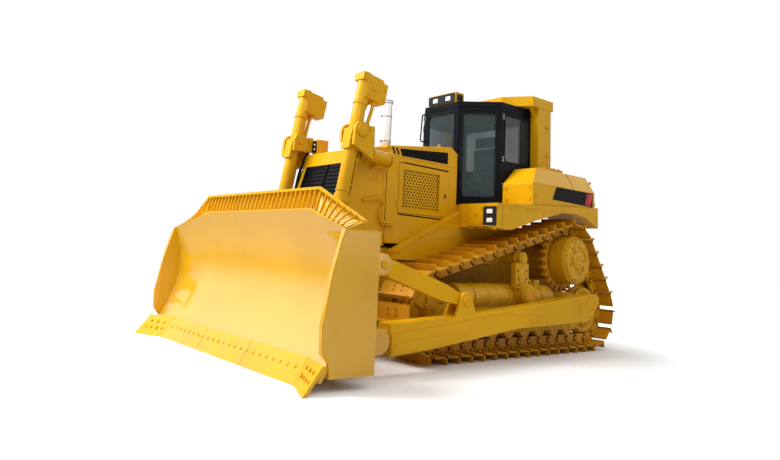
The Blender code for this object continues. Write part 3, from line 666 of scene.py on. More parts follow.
def bolt_pattern():
    """A washer and a hexagon head at each point, facing as the point says."""
    tree = Pattern("Bolt heads")
    spots = tree.input("Geometry", "Geometry")
    radius = tree.input("Head Radius", "Float", 0.016)
    height = tree.input("Head Height", "Float", 0.011)
    sides = tree.input("Sides", "Int", 6)
    head = tree.node("GeometryNodeMeshCylinder", None,
                     {"Vertices": sides, "Radius": radius, "Depth": height})[0]
    washer = tree.node(
        "GeometryNodeMeshCylinder", None, {"Vertices": 12, "Radius": radius * 1.35, "Depth": height * 0.4},
    )[0]
    head = tree.moved(head, tree.vector(z=height * 0.85))
    washer = tree.moved(washer, tree.vector(z=height * 0.2))
    facing = tree.node("GeometryNodeInputNamedAttribute", {"data_type": "FLOAT_VECTOR"},
                       {"Name": "facing"})[0]
    turn = tree.node("FunctionNodeAlignRotationToVector", {"axis": "Z"}, {"Vector": facing})[0]
    values = {"Points": spots, "Instance": tree.join(head, washer), "Rotation": turn}
    return tree.close(tree.node("GeometryNodeInstanceOnPoints", None, values)[0])


def link_pattern():
    """A shape at each point of a loop, turned about X by the point's own angle."""
    tree = Pattern("Track links")
    spots = tree.input("Geometry", "Geometry")
    shape = tree.input("Link", "Object")
    size = tree.input("Size", "Float", 1.0)
    angle = tree.node("GeometryNodeInputNamedAttribute", {"data_type": "FLOAT"}, {"Name": "angle"})[0]
    link = tree.node("GeometryNodeObjectInfo", None, {"Object": shape})["Geometry"]
    turn = tree.node("FunctionNodeEulerToRotation", None, {0: tree.vector(x=angle)})[0]
    values = {"Points": spots, "Instance": link, "Rotation": turn, "Scale": tree.vector(size, size, size)}
    return tree.close(tree.node("GeometryNodeInstanceOnPoints", None, values)[0])


def bar_pattern():
    """Equal bars in a row, from a first place on by a fixed step."""
    tree = Pattern("Bars in a row")
    count = tree.input("Count", "Int", 10)
    first = tree.input("First", "Vector")
    step = tree.input("Step", "Vector")
    size = tree.input("Bar Size", "Vector")
    tilt = tree.input("Tilt", "Vector")
    line = tree.node("GeometryNodeMeshLine", None,
                     {"Count": count, "Start Location": first, "Offset": step})[0]
    bar = tree.node("GeometryNodeMeshCube", None, {"Size": size})[0]
    turn = tree.node("FunctionNodeEulerToRotation", None, {0: tilt})[0]
    values = {"Points": line, "Instance": bar, "Rotation": turn}
    return tree.close(tree.node("GeometryNodeInstanceOnPoints", None, values)[0])


PATTERNS = {}


def pattern(name, make):
    if name not in PATTERNS:
        PATTERNS[name] = make()
    return PATTERNS[name]


def bolts(name, spots, radius, body="root", finish="paint", slot="yellow_paint", height=None, sides=6):
    """Bolt heads at (place, direction) pairs, as one piece."""
    values = {"Head Radius": radius, "Head Height": height or radius * 0.75, "Sides": sides}
    mesh = pattern("bolts", bolt_pattern).run(name, spots_mesh(spots), finish, values)
    return hand_over(name, mesh, None, body, slot)


def bars(name, first, step, count, size, finish, tilt=(0, 0, 0), body="root", slot=None, bevel=0.0,
         replaces=()):
    values = {"Count": count, "First": first, "Step": step, "Bar Size": size, "Tilt": tilt}
    mesh = pattern("bars", bar_pattern).run(name, bpy.data.meshes.new("empty"), finish, values)
    return hand_over(name, mesh, None, body, slot, bevel, replaces)


def ring_spots(centre, axis, radius, count, phase=0.0):
    """Bolt places round a circle about an axis, all facing along it."""
    axis = Vector(axis).normalized()
    turn = axis.to_track_quat("Z", "Y")
    angles = (2 * math.pi * (i + phase) / count for i in range(count))
    offsets = (turn @ Vector((radius * math.cos(a), radius * math.sin(a), 0)) for a in angles)
    return [(Vector(centre) + offset, axis) for offset in offsets]


def row_spots(start, end, count, axis):
    start, end = Vector(start), Vector(end)
    return [(start.lerp(end, i / max(1, count - 1)), Vector(axis)) for i in range(count)]


# The stage


class BULLDOZER_OT_stage(Operator):
    """Sets up the camera, the pale floor and the soft studio light"""

    bl_idname = "bulldozer.stage"
    bl_label = "Studio"

    def execute(self, context):
        scene, chosen = context.scene, settings("stage")
        scene.view_settings.view_transform = "Standard"
        self.camera(scene, chosen.focal)
        self.world(scene, chosen.sky)
        self.floor(chosen.floor)
        light("key", Vector((-3.5, -7.5, 10.0)), Vector((0.3, -0.6, 0.6)), 6.5, 1900.0)
        light("fill", Vector((10.0, -6.0, 10.0)), Vector((0.5, 0.2, 1.6)), 5.0, 190.0)
        return {"FINISHED"}

    def camera(self, scene, focal):
        seen = bpy.data.cameras.new("camera")
        seen.lens, seen.sensor_width = focal, 36.0
        seen.shift_x, seen.shift_y = 0.0465, -0.0995
        obj = bpy.data.objects.new("camera", seen)
        scene.collection.objects.link(obj)
        place = Matrix.Translation((6.9126, -6.7013, 1.2968))
        heading, rise, roll = math.radians(52.038), math.radians(9.282), math.radians(3.2995)
        turn = Matrix.Rotation(heading, 3, "Z") @ Matrix.Rotation(math.pi / 2 + rise, 3, "X")
        obj.matrix_world = place @ (turn @ Matrix.Rotation(roll, 3, "Z")).to_4x4()
        scene.camera = obj

    def world(self, scene, strength):
        scene.world = bpy.data.worlds.new("studio")
        scene.world.use_nodes = True
        tree = Tree(scene.world.node_tree)
        tree.group.nodes.clear()
        rays = tree.node("ShaderNodeLightPath")
        facing = tree.node("ShaderNodeTexCoord")["Generated"]
        height = tree.node("ShaderNodeSeparateXYZ", None, {0: facing})["Z"]
        level = height.ease(0.10, 0.75) * strength + 0.05
        level = level + rays["Is Glossy Ray"] * (1 - abs(height - 0.3).ease(0.15, 0.40)) * strength * 1.25
        level = level + rays["Is Camera Ray"] * (1 - level)
        sky = tree.node("ShaderNodeBackground", None, {"Color": (1, 1, 1, 1), "Strength": level})[0]
        tree.node("ShaderNodeOutputWorld", None, {"Surface": sky})

    def floor(self, colour):
        finish = Finish("studio_floor", 0.9, Emission_Strength=1.0)
        base = finish.mix(finish.noise(0.6, 3.0), shade(colour, 0.99), colour)
        far = finish.node("ShaderNodeVectorMath", {"operation": "LENGTH"}, {0: finish.place})["Value"]
        rays = finish.node("ShaderNodeLightPath")
        glow = finish.mix(far.ease(3.2, 6.5) * rays["Is Camera Ray"], (0, 0, 0), (1, 1, 1))
        base = finish.mix(rays["Is Diffuse Ray"], base, shade(colour, 0.72))
        base = finish.mix(rays["Is Glossy Ray"], base, shade(colour, 0.30))
        MATERIALS["floor"] = finish.feed(Base_Color=base, Emission_Color=glow)
        bm = bmesh.new()
        bmesh.ops.create_circle(bm, cap_ends=True, radius=90.0, segments=64)
        mesh = bpy.data.meshes.new("floor")
        bm.to_mesh(mesh)
        bm.free()
        mesh.materials.append(material("floor"))
        obj = bpy.data.objects.new("floor", mesh)
        bpy.context.scene.collection.objects.link(obj)


def light(name, place, target, size, power):
    lamp = bpy.data.lights.new(name, "AREA")
    lamp.shape, lamp.size, lamp.energy = "SQUARE", size, power
    obj = bpy.data.objects.new(name, lamp)
    turn = (target - place).to_track_quat("-Z", "Y").to_matrix().to_4x4()
    obj.matrix_world = Matrix.Translation(place) @ turn
    bpy.context.scene.collection.objects.link(obj)


# Finishes and the frame's own nodes

KEPT_NODES = {
    "black": ("radiator_grille", "cab_shell", "cab_roof", "cab_door_left", "cab_door_right", "dash_console",
              "seat_base"),
    "glass": ("windscreen", "rear_window", "side_window_left", "side_window_right", "door_glass_left",
              "door_glass_right"),
    "chrome": ("lift_rod_left", "lift_rod_right", "tilt_rod"),
    "iron": ("engine",),
    "exhaust": ("exhaust_stack",),
    "track": ("sprocket_left", "sprocket_right"),
}
SOFTENED_NODES = {
    "blade": 0.007, "cutting_edge": 0.006, "end_bit_left": 0.006, "end_bit_right": 0.006,
    "push_arm_left": 0.008, "push_arm_right": 0.008, "brace_left": 0.010, "tilt_cylinder": 0.006,
    "lift_yoke_left": 0.007, "lift_yoke_right": 0.007, "lift_barrel_left": 0.006, "lift_barrel_right": 0.006,
    "radiator_guard": 0.010, "hood": 0.012, "headlamp_left": 0.010, "headlamp_right": 0.010,
    "platform": 0.006, "fender_left": 0.007, "fender_right": 0.007, "fuel_tank": 0.016, "rops": 0.014,
    "cab_lamp_bar": 0.008, "main_frame": 0.010, "rear_hitch": 0.008, "roller_frame_left": 0.006,
    "roller_frame_right": 0.006, "final_drive_left": 0.008, "final_drive_right": 0.008,
}
TURNED_NODES = ("front_idler_left", "front_idler_right", "rear_idler_left", "rear_idler_right")


class BULLDOZER_OT_finishes(Operator):
    """Makes every finish"""

    bl_idname = "bulldozer.finishes"
    bl_label = "Finishes"

    def execute(self, context):
        paint = settings("paint")
        yellow, track, black = (tuple(colour) for colour in (paint.yellow, paint.track, paint.black))
        MATERIALS.update(
            paint=painted("yellow_paint", yellow, 0.34, paint.gloss),
            blade=painted("blade_paint", yellow, 0.22, min(1.0, paint.gloss + 0.75), wave=0.15, low_brown=0.04,
                          glaze=2.0),
            edge=painted("edge_paint", shade(yellow, 1.06), 0.34, 0.5, low_brown=0.25, glaze=1.6),
            frame=cast("frame_casting", shade(yellow, 0.93)),
            track=cast("track_paint", track),
            black=dark("black_paint", black, 0.28),
            rubber=dark("rubber", (0.012, 0.012, 0.013), 0.62, 160.0, 0.3),
            plastic=dark("plastic", (0.022, 0.023, 0.025), 0.48, 220.0, 0.35),
            decal=dark("decal_black", (0.002, 0.002, 0.002), 0.30, 30.0, 0.02),
            slash=painted("slash_red", tuple(paint.slash), 0.35, 0.4, low_brown=0.0),
            glass=tinted_glass("window_glass", tuple(paint.glass)),
            chrome=metal("rod_chrome", (0.86, 0.86, 0.88), 0.12, (1, 1, 12)),
            steel=metal("plain_steel", (0.42, 0.41, 0.39), 0.38),
            iron=cast("engine_iron", (0.16, 0.12, 0.06)),
            exhaust=heat_stained("exhaust_steel"),
            fabric=woven("seat_fabric", (0.035, 0.037, 0.042)),
            lens=lens_with_painted_glow("lamp_lens", (0.92, 0.92, 0.90), 0.25),
            amber=lens_with_painted_glow("tail_lens", (0.50, 0.02, 0.015), 0.1),
            hole=dark("hole_shadow", (0.035, 0.016, 0.004), 0.8),
        )
        return {"FINISHED"}


class BULLDOZER_OT_frame(Operator):
    """Finishes the frame's nodes: some keep their shape, and steelwork gets rounded edges"""

    bl_idname = "bulldozer.frame"
    bl_label = "Frame"

    def execute(self, context):
        for finish, nodes in KEPT_NODES.items():
            for node in nodes:
                mesh = frame["nodes"][node].data
                mesh.materials.clear()
                mesh.materials.append(material(finish))
        rough = ("roller_frame", "main_frame", "final_drive", "rear_hitch")
        for node, bevel in SOFTENED_NODES.items():
            finish = "frame" if node.startswith(rough) else "paint"
            if node == "blade":
                finish = "blade"
            elif node.startswith(("cutting", "end_bit")):
                finish = "edge"
            softened(node, finish, bevel=bevel)
        for node in TURNED_NODES:
            softened(node, "frame", bevel=0.005)
        return {"FINISHED"}


# Undercarriage

PIVOT_Y = 0.86
TUBE_Z = 0.80  # height of the round tube between the idlers
ROLLERS, ROLLER_FIRST, ROLLER_PITCH, ROLLER_Z = 8, -0.40, 0.36, 0.405
FRAME_OUT, FRAME_IN = 1.290, 0.960  # the roller frame's faces, from the machine's middle


def along_track(line, distance):
    """(y, z) and the outward angle at a distance along the pin line: arcs joined by straight runs."""
    for centre, radius, start, sweep, straight in line:
        if distance <= radius * sweep:
            angle = start + distance / radius
            return centre + radius * Vector((math.cos(angle), math.sin(angle))), angle
        distance -= radius * sweep
        if distance <= straight:
            angle = start + sweep
            out = Vector((math.cos(angle), math.sin(angle)))
            return centre + radius * out + Vector((-out.y, out.x)) * distance, angle
        distance -= straight
    return along_track(line, 0.0)


def pin_line():
    """The pin line as (wheel centre, radius, start angle, sweep, straight run after it), and its length."""
    track = settings("track")
    wheels = [
        (Vector((IDLER_REAR.y, IDLER_REAR.z)), track.idler_line),
        (Vector((SPROCKET.y, SPROCKET.z)), track.sprocket_line),
        (Vector((IDLER_FRONT.y, IDLER_FRONT.z)), track.idler_line),
    ]
    ends = []
    for (centre, radius), (other, other_radius) in zip(wheels, wheels[1:] + wheels[:1]):
        run = other - centre
        lean = math.asin((radius - other_radius) / run.length)
        ends.append((math.atan2(run.y, run.x) - math.pi / 2 + lean, run.length * math.cos(lean)))
    line = [
        (centre, radius, ends[i - 1][0], (ends[i][0] - ends[i - 1][0]) % (2 * math.pi), ends[i][1])
        for i, (centre, radius) in enumerate(wheels)
    ]
    return line, sum(radius * sweep + straight for _, radius, _, sweep, straight in line)


PIN_HEIGHT = 0.184  # from a grouser's tip to the pin line
SHOE_LOW, SHOE_HIGH = 0.085, 0.105  # the shoe plate, out from the pin line
RAIL_IN, RAIL_OUT, RAIL_DEPTH = 0.05, 0.095, 0.06
GROUSER_AT = 0.365  # of a pitch, ahead of the shoe's middle


def rail_outline(half):
    """A link rail from the side: round about its pins, with two windows under the shoe."""
    top = SHOE_LOW - 0.030
    post = half * 0.30
    return (
        arc((-half, 0), 0.052, 95, 265, 5)
        + [(-half * 0.7, -RAIL_DEPTH), (half * 0.7, -RAIL_DEPTH)]
        + arc((half, 0), 0.052, -85, 85, 5)
        + [(half * 0.86, SHOE_LOW), (half * 0.60, SHOE_LOW), (half * 0.50, top), (post, top)]
        + [(post * 0.8, SHOE_LOW), (-post * 0.8, SHOE_LOW), (-post, top), (-half * 0.50, top)]
        + [(-half * 0.60, SHOE_LOW), (-half * 0.86, SHOE_LOW)]
    )


def shoe_link(pitch):
    """One shoe on its two rails, with its pin and bolts, about its own middle: Y along, Z outwards."""
    half = pitch / 2
    wide = (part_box("track_left")[1].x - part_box("track_left")[0].x) / 2
    shape = Shape()
    shape.box((-wide, -half + 0.016, SHOE_LOW), (wide, half - 0.004, SHOE_HIGH))
    shape.box((-wide, half - 0.006, SHOE_LOW - 0.010), (wide, half + 0.016, SHOE_LOW + 0.006))
    grouser = -GROUSER_AT * pitch
    blade = [(grouser - 0.017, SHOE_LOW), (grouser + 0.024, SHOE_LOW), (grouser + 0.012, 0.128),
             (grouser + 0.008, PIN_HEIGHT), (grouser - 0.010, PIN_HEIGHT), (grouser - 0.012, 0.128)]
    shape.plate(blade, -wide, wide)
    for side in (1, -1):
        shape.plate(rail_outline(half), side * RAIL_IN, side * RAIL_OUT)
        shape.drum((side * RAIL_OUT, -half, 0), (side * (RAIL_OUT + 0.012), -half, 0), 0.030, 10)
        for y in (0.012, 0.072):
            place = Vector((side * 0.073, y, SHOE_HIGH))
            shape.drum(place, place + Vector((0, 0, 0.016)), 0.017, 6)
            shape.drum((side * 0.073, y, SHOE_LOW - 0.045), (side * 0.073, y, SHOE_LOW), 0.015, 6)
    shape.drum((-RAIL_IN, -half, 0), (RAIL_IN, -half, 0), 0.036, 12)
    return shape.mesh("shoe_link")


class BULLDOZER_OT_tracks(Operator):
    """Lays the shoes, link rails and pins round each side's three wheels"""

    bl_idname = "bulldozer.tracks"
    bl_label = "Tracks"

    def execute(self, context):
        links = settings("track").links
        line, total = pin_line()
        pitch = total / links
        link = bpy.data.objects.new("shoe_link", shoe_link(pitch))
        for side, label in SIDES:
            mesh = bpy.data.meshes.new("spots")
            places = [along_track(line, (i + 0.5) * pitch) for i in range(links)]
            mesh.from_pydata([(side * TRACK_X, place.x, place.y) for place, _ in places], [], [])
            angles = mesh.attributes.new("angle", "FLOAT", "POINT")
            angles.data.foreach_set("value", [angle - math.pi / 2 for _, angle in places])
            name = f"track_links_{label}"
            made = pattern("links", link_pattern).run(name, mesh, "track", {"Link": link, "Size": 1.0})
            hand_over(name, made, None, "root", "track_paint", 0.0, (f"track_{label}",))
        bpy.data.objects.remove(link)
        return {"FINISHED"}


class BULLDOZER_OT_undercarriage(Operator):
    """Adds the rollers' covers, carrier rollers, pivot caps, idler hubs and final-drive fittings"""

    bl_idname = "bulldozer.undercarriage"
    bl_label = "Undercarriage"

    def execute(self, context):
        for side, label in SIDES:
            self.drive(side, label)
            self.wheels(side, label)
            self.pivot(side, label)
            self.carrier(side, label)
            self.roller_frame(side, label)
        return {"FINISHED"}

    def drive(self, side, label):
        """Bolted rim, three bosses, the centre cap, and the sprocket's segment bolts."""
        out = LEFT * side
        face = Vector((side * 1.44, SPROCKET.y, SPROCKET.z))
        shape = Shape()
        shape.turned(((0.305, 0.0), (0.305, 0.012), (0.270, 0.018), (0.225, 0.010), (0.225, 0.0)), face, out,
                     48)
        shape.turned(((0.0, 0.0), (0.135, 0.0), (0.130, 0.026), (0.095, 0.034), (0.0, 0.034)), face, out, 36)
        for turn in (100, 220, 340):
            spot = Vector((0, math.cos(math.radians(turn)), math.sin(math.radians(turn)))) * 0.20
            shape.cap(0.062, 0.056, 0.022, face + spot, out, 20)
            shape.turned(((0.085, 0.0), (0.085, 0.010), (0.070, 0.010), (0.070, 0.0)), face + spot, out, 20)
        shape.piece(f"final_drive_cover_{label}", "frame", slot="yellow_paint", bevel=0.003)
        spots = ring_spots(face - out * 0.02, out, 0.350, 36)
        spots += ring_spots(face + out * 0.034, out, 0.062, 6)
        spots += ring_spots(face + out * 0.012, out, 0.285, 12, 0.5)
        bolts(f"final_drive_bolts_{label}", spots, 0.014, finish="frame")
        for name, way in (("outer", 1), ("inner", -1)):
            place = Vector((side * (TRACK_X + way * 0.04), SPROCKET.y, SPROCKET.z))
            bolts(f"sprocket_bolts_{name}_{label}", ring_spots(place, out * way, 0.382, 24), 0.015,
                  finish="track", slot="track_paint")

    def wheels(self, side, label):
        """Hub covers and spokes' ribs on the idlers."""
        shape = Shape()
        spots = []
        for centre in (IDLER_FRONT, IDLER_REAR):
            for way in (1, -1):
                hub = Vector((side * TRACK_X + way * 0.13, centre.y, centre.z))
                shape.cap(0.075, 0.068, 0.020, hub, (way, 0, 0), 24)
                spots += ring_spots(hub + Vector((way * 0.020, 0, 0)), (way, 0, 0), 0.048, 6)
                for turn in range(0, 360, 60):
                    rib = Euler((math.radians(turn), 0, 0))
                    middle = Vector((side * TRACK_X, centre.y, centre.z))
                    reach = Vector((way * 0.062, 0, 0.19))
                    shape.box(middle + reach - Vector((0.018, 0.010, 0.095)),
                              middle + reach + Vector((0.018, 0.010, 0.095)), rib, middle)
        shape.piece(f"idler_hubs_{label}", "frame", slot="yellow_paint", bevel=0.003)
        bolts(f"idler_bolts_{label}", spots, 0.010, finish="frame")

    def pivot(self, side, label):
        """The pivot shaft's cap with its bolts, and the clamp round the frame tube."""
        out = LEFT * side
        face = Vector((side * 1.47, PIVOT_Y, 0.85))
        shape = Shape()
        shape.turned(((0.0, 0.0), (0.132, 0.0), (0.132, 0.012), (0.085, 0.020), (0.05, 0.012), (0.0, 0.012)),
                     face, out, 36)
        shape.turned(((0.158, -0.05), (0.158, -0.02), (0.150, -0.014), (0.150, -0.05)), face, out, 36)
        for y, wide in ((0.62, 0.03), (1.10, 0.03), (1.42, 0.05), (-0.10, 0.025)):
            ring = Vector((side * TRACK_X, y, TUBE_Z))
            shape.ring(0.192, 0.202, wide, ring, BACK, 36)
        shape.box((side * 1.01, 1.26, 0.80), (side * 1.24, 1.40, 1.06))
        shape.piece(f"pivot_cap_{label}", "frame", slot="yellow_paint", bevel=0.003)
        spots = ring_spots(face + out * 0.012, out, 0.108, 8)
        bolts(f"pivot_bolts_{label}", spots, 0.013, finish="frame")
        shape = Shape()
        ring = Vector((side * TRACK_X, 0.25, TUBE_Z))
        shape.turned(((0.191, -0.075), (0.197, -0.07), (0.197, 0.07), (0.191, 0.075)), ring, BACK, 40)
        shape.piece(f"tube_seal_{label}", "frame")

    def carrier(self, side, label):
        """Flanges on the carrier roller, its hub, and the bolts and holes of its bracket."""
        out = LEFT * side
        middle = Vector((0, PIVOT_Y, 1.365))
        shape = Shape()
        for x in (0.995, 1.255):
            shape.ring(0.0, 0.112, 0.012, middle + out * x, out, 28)
        shape.cap(0.068, 0.060, 0.022, middle + out * 1.35, out, 24)
        shape.box((side * 1.265, 0.66, 0.945), (side * 1.40, 1.0, 0.975))
        hook = [(side * 1.31, 0.985, 0.98), (side * 1.31, 1.02, 1.06), (side * 1.31, 1.075, 1.055),
                (side * 1.31, 1.085, 0.99)]
        shape.tube(hook, 0.013, 8, 0.03)
        shape.piece(f"carrier_roller_{label}", "frame", slot="yellow_paint", bevel=0.003)
        spots = [(Vector((side * 1.35, y, z)), out) for y in (0.77, 0.90) for z in (0.99, 1.06, 1.13)]
        bolts(f"carrier_bolts_{label}", spots, 0.014, finish="frame")
        # The holes are flat dark discs: painted shade inside them.
        spots = [(Vector((side * 1.3502, y, z)), out) for y in (0.74, 0.93) for z in (1.19, 1.08, 0.98)]
        bolts(f"carrier_holes_{label}", spots, 0.012, finish="hole", slot=None, height=0.003, sides=12)

    def roller_frame(self, side, label):
        """Roller end caps, the guards between them, two side strips, and the idler yokes' plates."""
        out = LEFT * side
        shape = Shape()
        spots = []
        for i in range(ROLLERS):
            y = ROLLER_FIRST + ROLLER_PITCH * i
            for x, way in ((FRAME_OUT, 1), (FRAME_IN, -1)):
                place = Vector((side * x, y, ROLLER_Z))
                shape.cap(0.055, 0.050, 0.014, place, out * way, 16)
                spots += [(place + Vector((0, dy, 0.075)), out * way) for dy in (-0.07, 0.07)]
        for i in range(ROLLERS - 1):
            y = ROLLER_FIRST + ROLLER_PITCH * (i + 0.5)
            shape.box((side * FRAME_OUT, y - 0.055, 0.36), (side * (FRAME_OUT + 0.012), y + 0.055, 0.53))
        for y_low, y_high in ((-0.55, 0.30), (1.05, 2.20)):
            shape.box((side * FRAME_OUT, y_low, 0.538), (side * (FRAME_OUT + 0.022), y_high, 0.560))
        for y in (-0.98, 2.64):
            plate = rectangle(y - 0.075, 0.535, y + 0.075, 0.705, 0.02)
            shape.plate(plate, side * 1.300, side * 1.318)
            spots += [(Vector((side * 1.318, y + dy, z)), out) for dy in (-0.045, 0.045) for z in (0.57,
                                                                                                   0.67)]
        shape.piece(f"roller_guards_{label}", "frame", slot="yellow_paint", bevel=0.003)
        bolts(f"roller_bolts_{label}", spots, 0.013, finish="frame")


# Blade and its linkage

EDGE_FOOT = Vector((-3.20, 0.0))
EDGE_TALL = 0.31
KINK_LOW, KINK_HIGH = 1.68, 1.28
WING_AHEAD = 0.22  # how far the end bit's tip stands ahead of the edge at its foot
WING_AHEAD_HIGH = 0.16  # and at its head
BLADE_HALF = 2.157
RAIL_HALF = 0.022  # half the depth of the spill guard's top rail
ARM_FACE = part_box("push_arm_left")[1].x
ARM_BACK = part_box("push_arm_left")[0].x


def up_edge(distance, ahead=0.0):
    """(y, z) on the cutting edge's front face, at a distance up it."""
    y, z = EDGE_FOOT + Vector((math.sin(EDGE_LEAN), math.cos(EDGE_LEAN))) * distance
    return y - ahead, z


EDGE_FACING = Vector((0, -math.cos(EDGE_LEAN), math.sin(EDGE_LEAN)))


class BULLDOZER_OT_blade(Operator):
    """Bolts the cutting edge and end bits, and fits the blade's lips, ribs and guard"""

    bl_idname = "bulldozer.blade"
    bl_label = "Blade"

    def execute(self, context):
        self.edge_bolts()
        self.spill_guard()
        self.lips()
        self.back()
        return {"FINISHED"}

    def edge_bolts(self):
        large = settings("fasteners").large
        y, z = up_edge(0.185)
        spots = row_spots((-1.56, y, z), (1.56, y, z), 23, EDGE_FACING)
        bolts("cutting_edge_bolts", spots, large * 0.62, "blade_group", "edge", height=0.008, sides=12)
        spots = []
        for side, _ in SIDES:
            across = BLADE_HALF - KINK_LOW
            facing = Vector((-side * WING_AHEAD / across * 0.8, *EDGE_FACING.yz)).normalized()
            for count, up in ((4, 0.13), (3, 0.22)):
                for i in range(count):
                    share = (i + 1) / (count + 1)
                    rise = up / EDGE_TALL
                    ahead = (WING_AHEAD * (1 - rise) + WING_AHEAD_HIGH * rise) * share
                    spots.append((Vector((side * (KINK_LOW + across * share), *up_edge(up, ahead))), facing))
        bolts("end_bit_bolts", spots, large * 0.62, "blade_group", "edge", height=0.008, sides=12)
        shape = Shape()
        for x in (-0.56, 0.56):
            low, high = up_edge(0.005, 0.0006), up_edge(EDGE_TALL - 0.004, 0.0006)
            seam = [(x + dx, *point) for point,
                    dx in ((low, -0.003), (low, 0.003), (high, 0.003), (high, -0.003))]
            shape.skin([seam, [(px, py + 0.004, pz) for px, py, pz in seam]])
        shape.piece("cutting_edge_joints", "hole", "blade_group")

    def spill_guard(self):
        """Slats between a lower sill and a top rail, over the middle and down each wing."""
        top_middle, top_tip = Vector((1.37, -2.815, 2.00)), Vector((2.112, -2.748, 1.63))
        sill_middle, sill_tip = Vector((KINK_HIGH, -2.865, 1.752)), Vector((2.112, -2.985, 1.541))
        shape = Shape()
        count = settings("panels").slats
        reach = 2.09
        for i in range(count):
            x = -reach + 2 * reach * i / (count - 1)
            foot = self.on_guard(abs(x), sill_middle, sill_tip)
            head = self.on_guard(abs(x), top_middle, top_tip)
            if (head - foot).length < 0.03:
                continue
            side = 1 if x > 0 else -1
            foot.x, head.x = side * foot.x, side * head.x
            self.slat(shape, foot, head)
        for side, _ in SIDES:
            self.rail(shape, side, top_middle, top_tip)
        fore, aft, top = top_middle.y - RAIL_HALF, top_middle.y + RAIL_HALF, top_middle.z
        shape.plate(rectangle(fore, top - 0.03, aft, top), -1.375, 1.375)
        for side, _ in SIDES:
            self.sheet(shape, side, sill_middle, sill_tip, top_middle, top_tip)
        back = [(-2.835, 1.753), (-2.827, 1.753), (-2.790, 1.99), (-2.798, 1.99)]
        shape.plate(back, -1.36, 1.36)
        shape.piece("spill_guard_slats", "paint", "blade_group", "yellow_paint", 0.003, ("spill_guard",))

    @staticmethod
    def on_guard(x, middle, tip):
        if x <= middle.x:
            return Vector((x, middle.y, middle.z))
        share = min(1.0, (x - middle.x) / (tip.x - middle.x))
        return Vector((x, *middle.lerp(tip, share).yz))

    @staticmethod
    def slat(shape, foot, head):
        """A rib from the sill up to the rail, standing ahead of the guard's sheet."""
        thick, deep = Vector((0.006, 0, 0)), Vector((0, 0.034, 0))
        sections = [
            [place - thick - deep * fore, place + thick - deep * fore,
             place + thick + deep * 0.5, place - thick + deep * 0.5]
            for place, fore in ((foot, 0.30), (head, 0.55))
        ]
        shape.skin(sections)

    @staticmethod
    def rail(shape, side, middle, tip):
        """The wing's top rail, from the middle out to its tip."""
        shape.skin([
            [(side * place.x, y, z) for y, z in
             rectangle(place.y - RAIL_HALF, place.z - 0.028, place.y + RAIL_HALF, place.z)]
            for place in (middle, tip)
        ])

    @staticmethod
    def sheet(shape, side, sill_middle, sill_tip, top_middle, top_tip):
        """The wing's backing sheet behind its slats."""
        fore, aft = Vector((0, 0.018, 0)), Vector((0, 0.026, 0))
        corners = [sill_middle, sill_tip, top_tip - Vector((0, 0, 0.01)), top_middle - Vector((0, 0, 0.01))]
        corners = [Vector((side * c.x, c.y, c.z)) for c in corners]
        shape.skin([[c + fore for c in corners], [c + aft for c in corners]])

    def lips(self):
        """Rounded weld lips down each end plate and along the mouldboard's head."""
        shape = Shape()
        for side, _ in SIDES:
            x = side * 2.115
            line = [(x, -3.108, 0.27), (x, -3.198, 0.37), (x, -3.208, 0.60), (x, -3.126, 1.10),
                    (x, -3.008, 1.525),
                    (x, -2.60, 1.525)]
            shape.tube(line, 0.0085, 8, 0.10)
            shape.tube([(side * 2.05, -2.958, 1.538), (side * KINK_HIGH, -2.868, 1.753)], 0.011, 8)
        shape.tube([(-KINK_HIGH, -2.868, 1.753), (KINK_HIGH, -2.868, 1.753)], 0.011, 8)
        shape.piece("blade_weld_lips", "paint", "blade_group", "yellow_paint")

    def back(self):
        """Ribs, pin caps and the guard's stays behind the mouldboard."""
        shape = Shape()
        for x in (0.25, 1.15, 1.90):
            for side, _ in SIDES:
                rib = [(-2.66, 0.60), (-2.70, 0.80), (-2.68, 1.08), (-2.585, 1.08), (-2.585, 0.60)]
                shape.plate(rib, side * (x - 0.012), side * (x + 0.012))
                stay = [(-2.79, 1.62), (-2.785, 1.72), (-2.70, 1.50), (-2.73, 1.50)]
                if x < 1.2:
                    shape.plate(stay, side * (x - 0.010), side * (x + 0.010))
        for side, _ in SIDES:
            for x, way in ((1.5295, -1), (1.7505, 1)):
                shape.cap(0.048, 0.043, 0.014, (side * x, BRACE_EYE.y, BRACE_EYE.z), (side * way, 0, 0), 20)
            for x, way in ((LIFT_X - 0.1155, -1), (LIFT_X + 0.1155, 1)):
                shape.cap(0.050, 0.044, 0.014, (side * x, LIFT_EYE.y, LIFT_EYE.z), (side * way, 0, 0), 20)
        shape.piece("blade_back_ribs", "paint", "blade_group", "yellow_paint", 0.004)


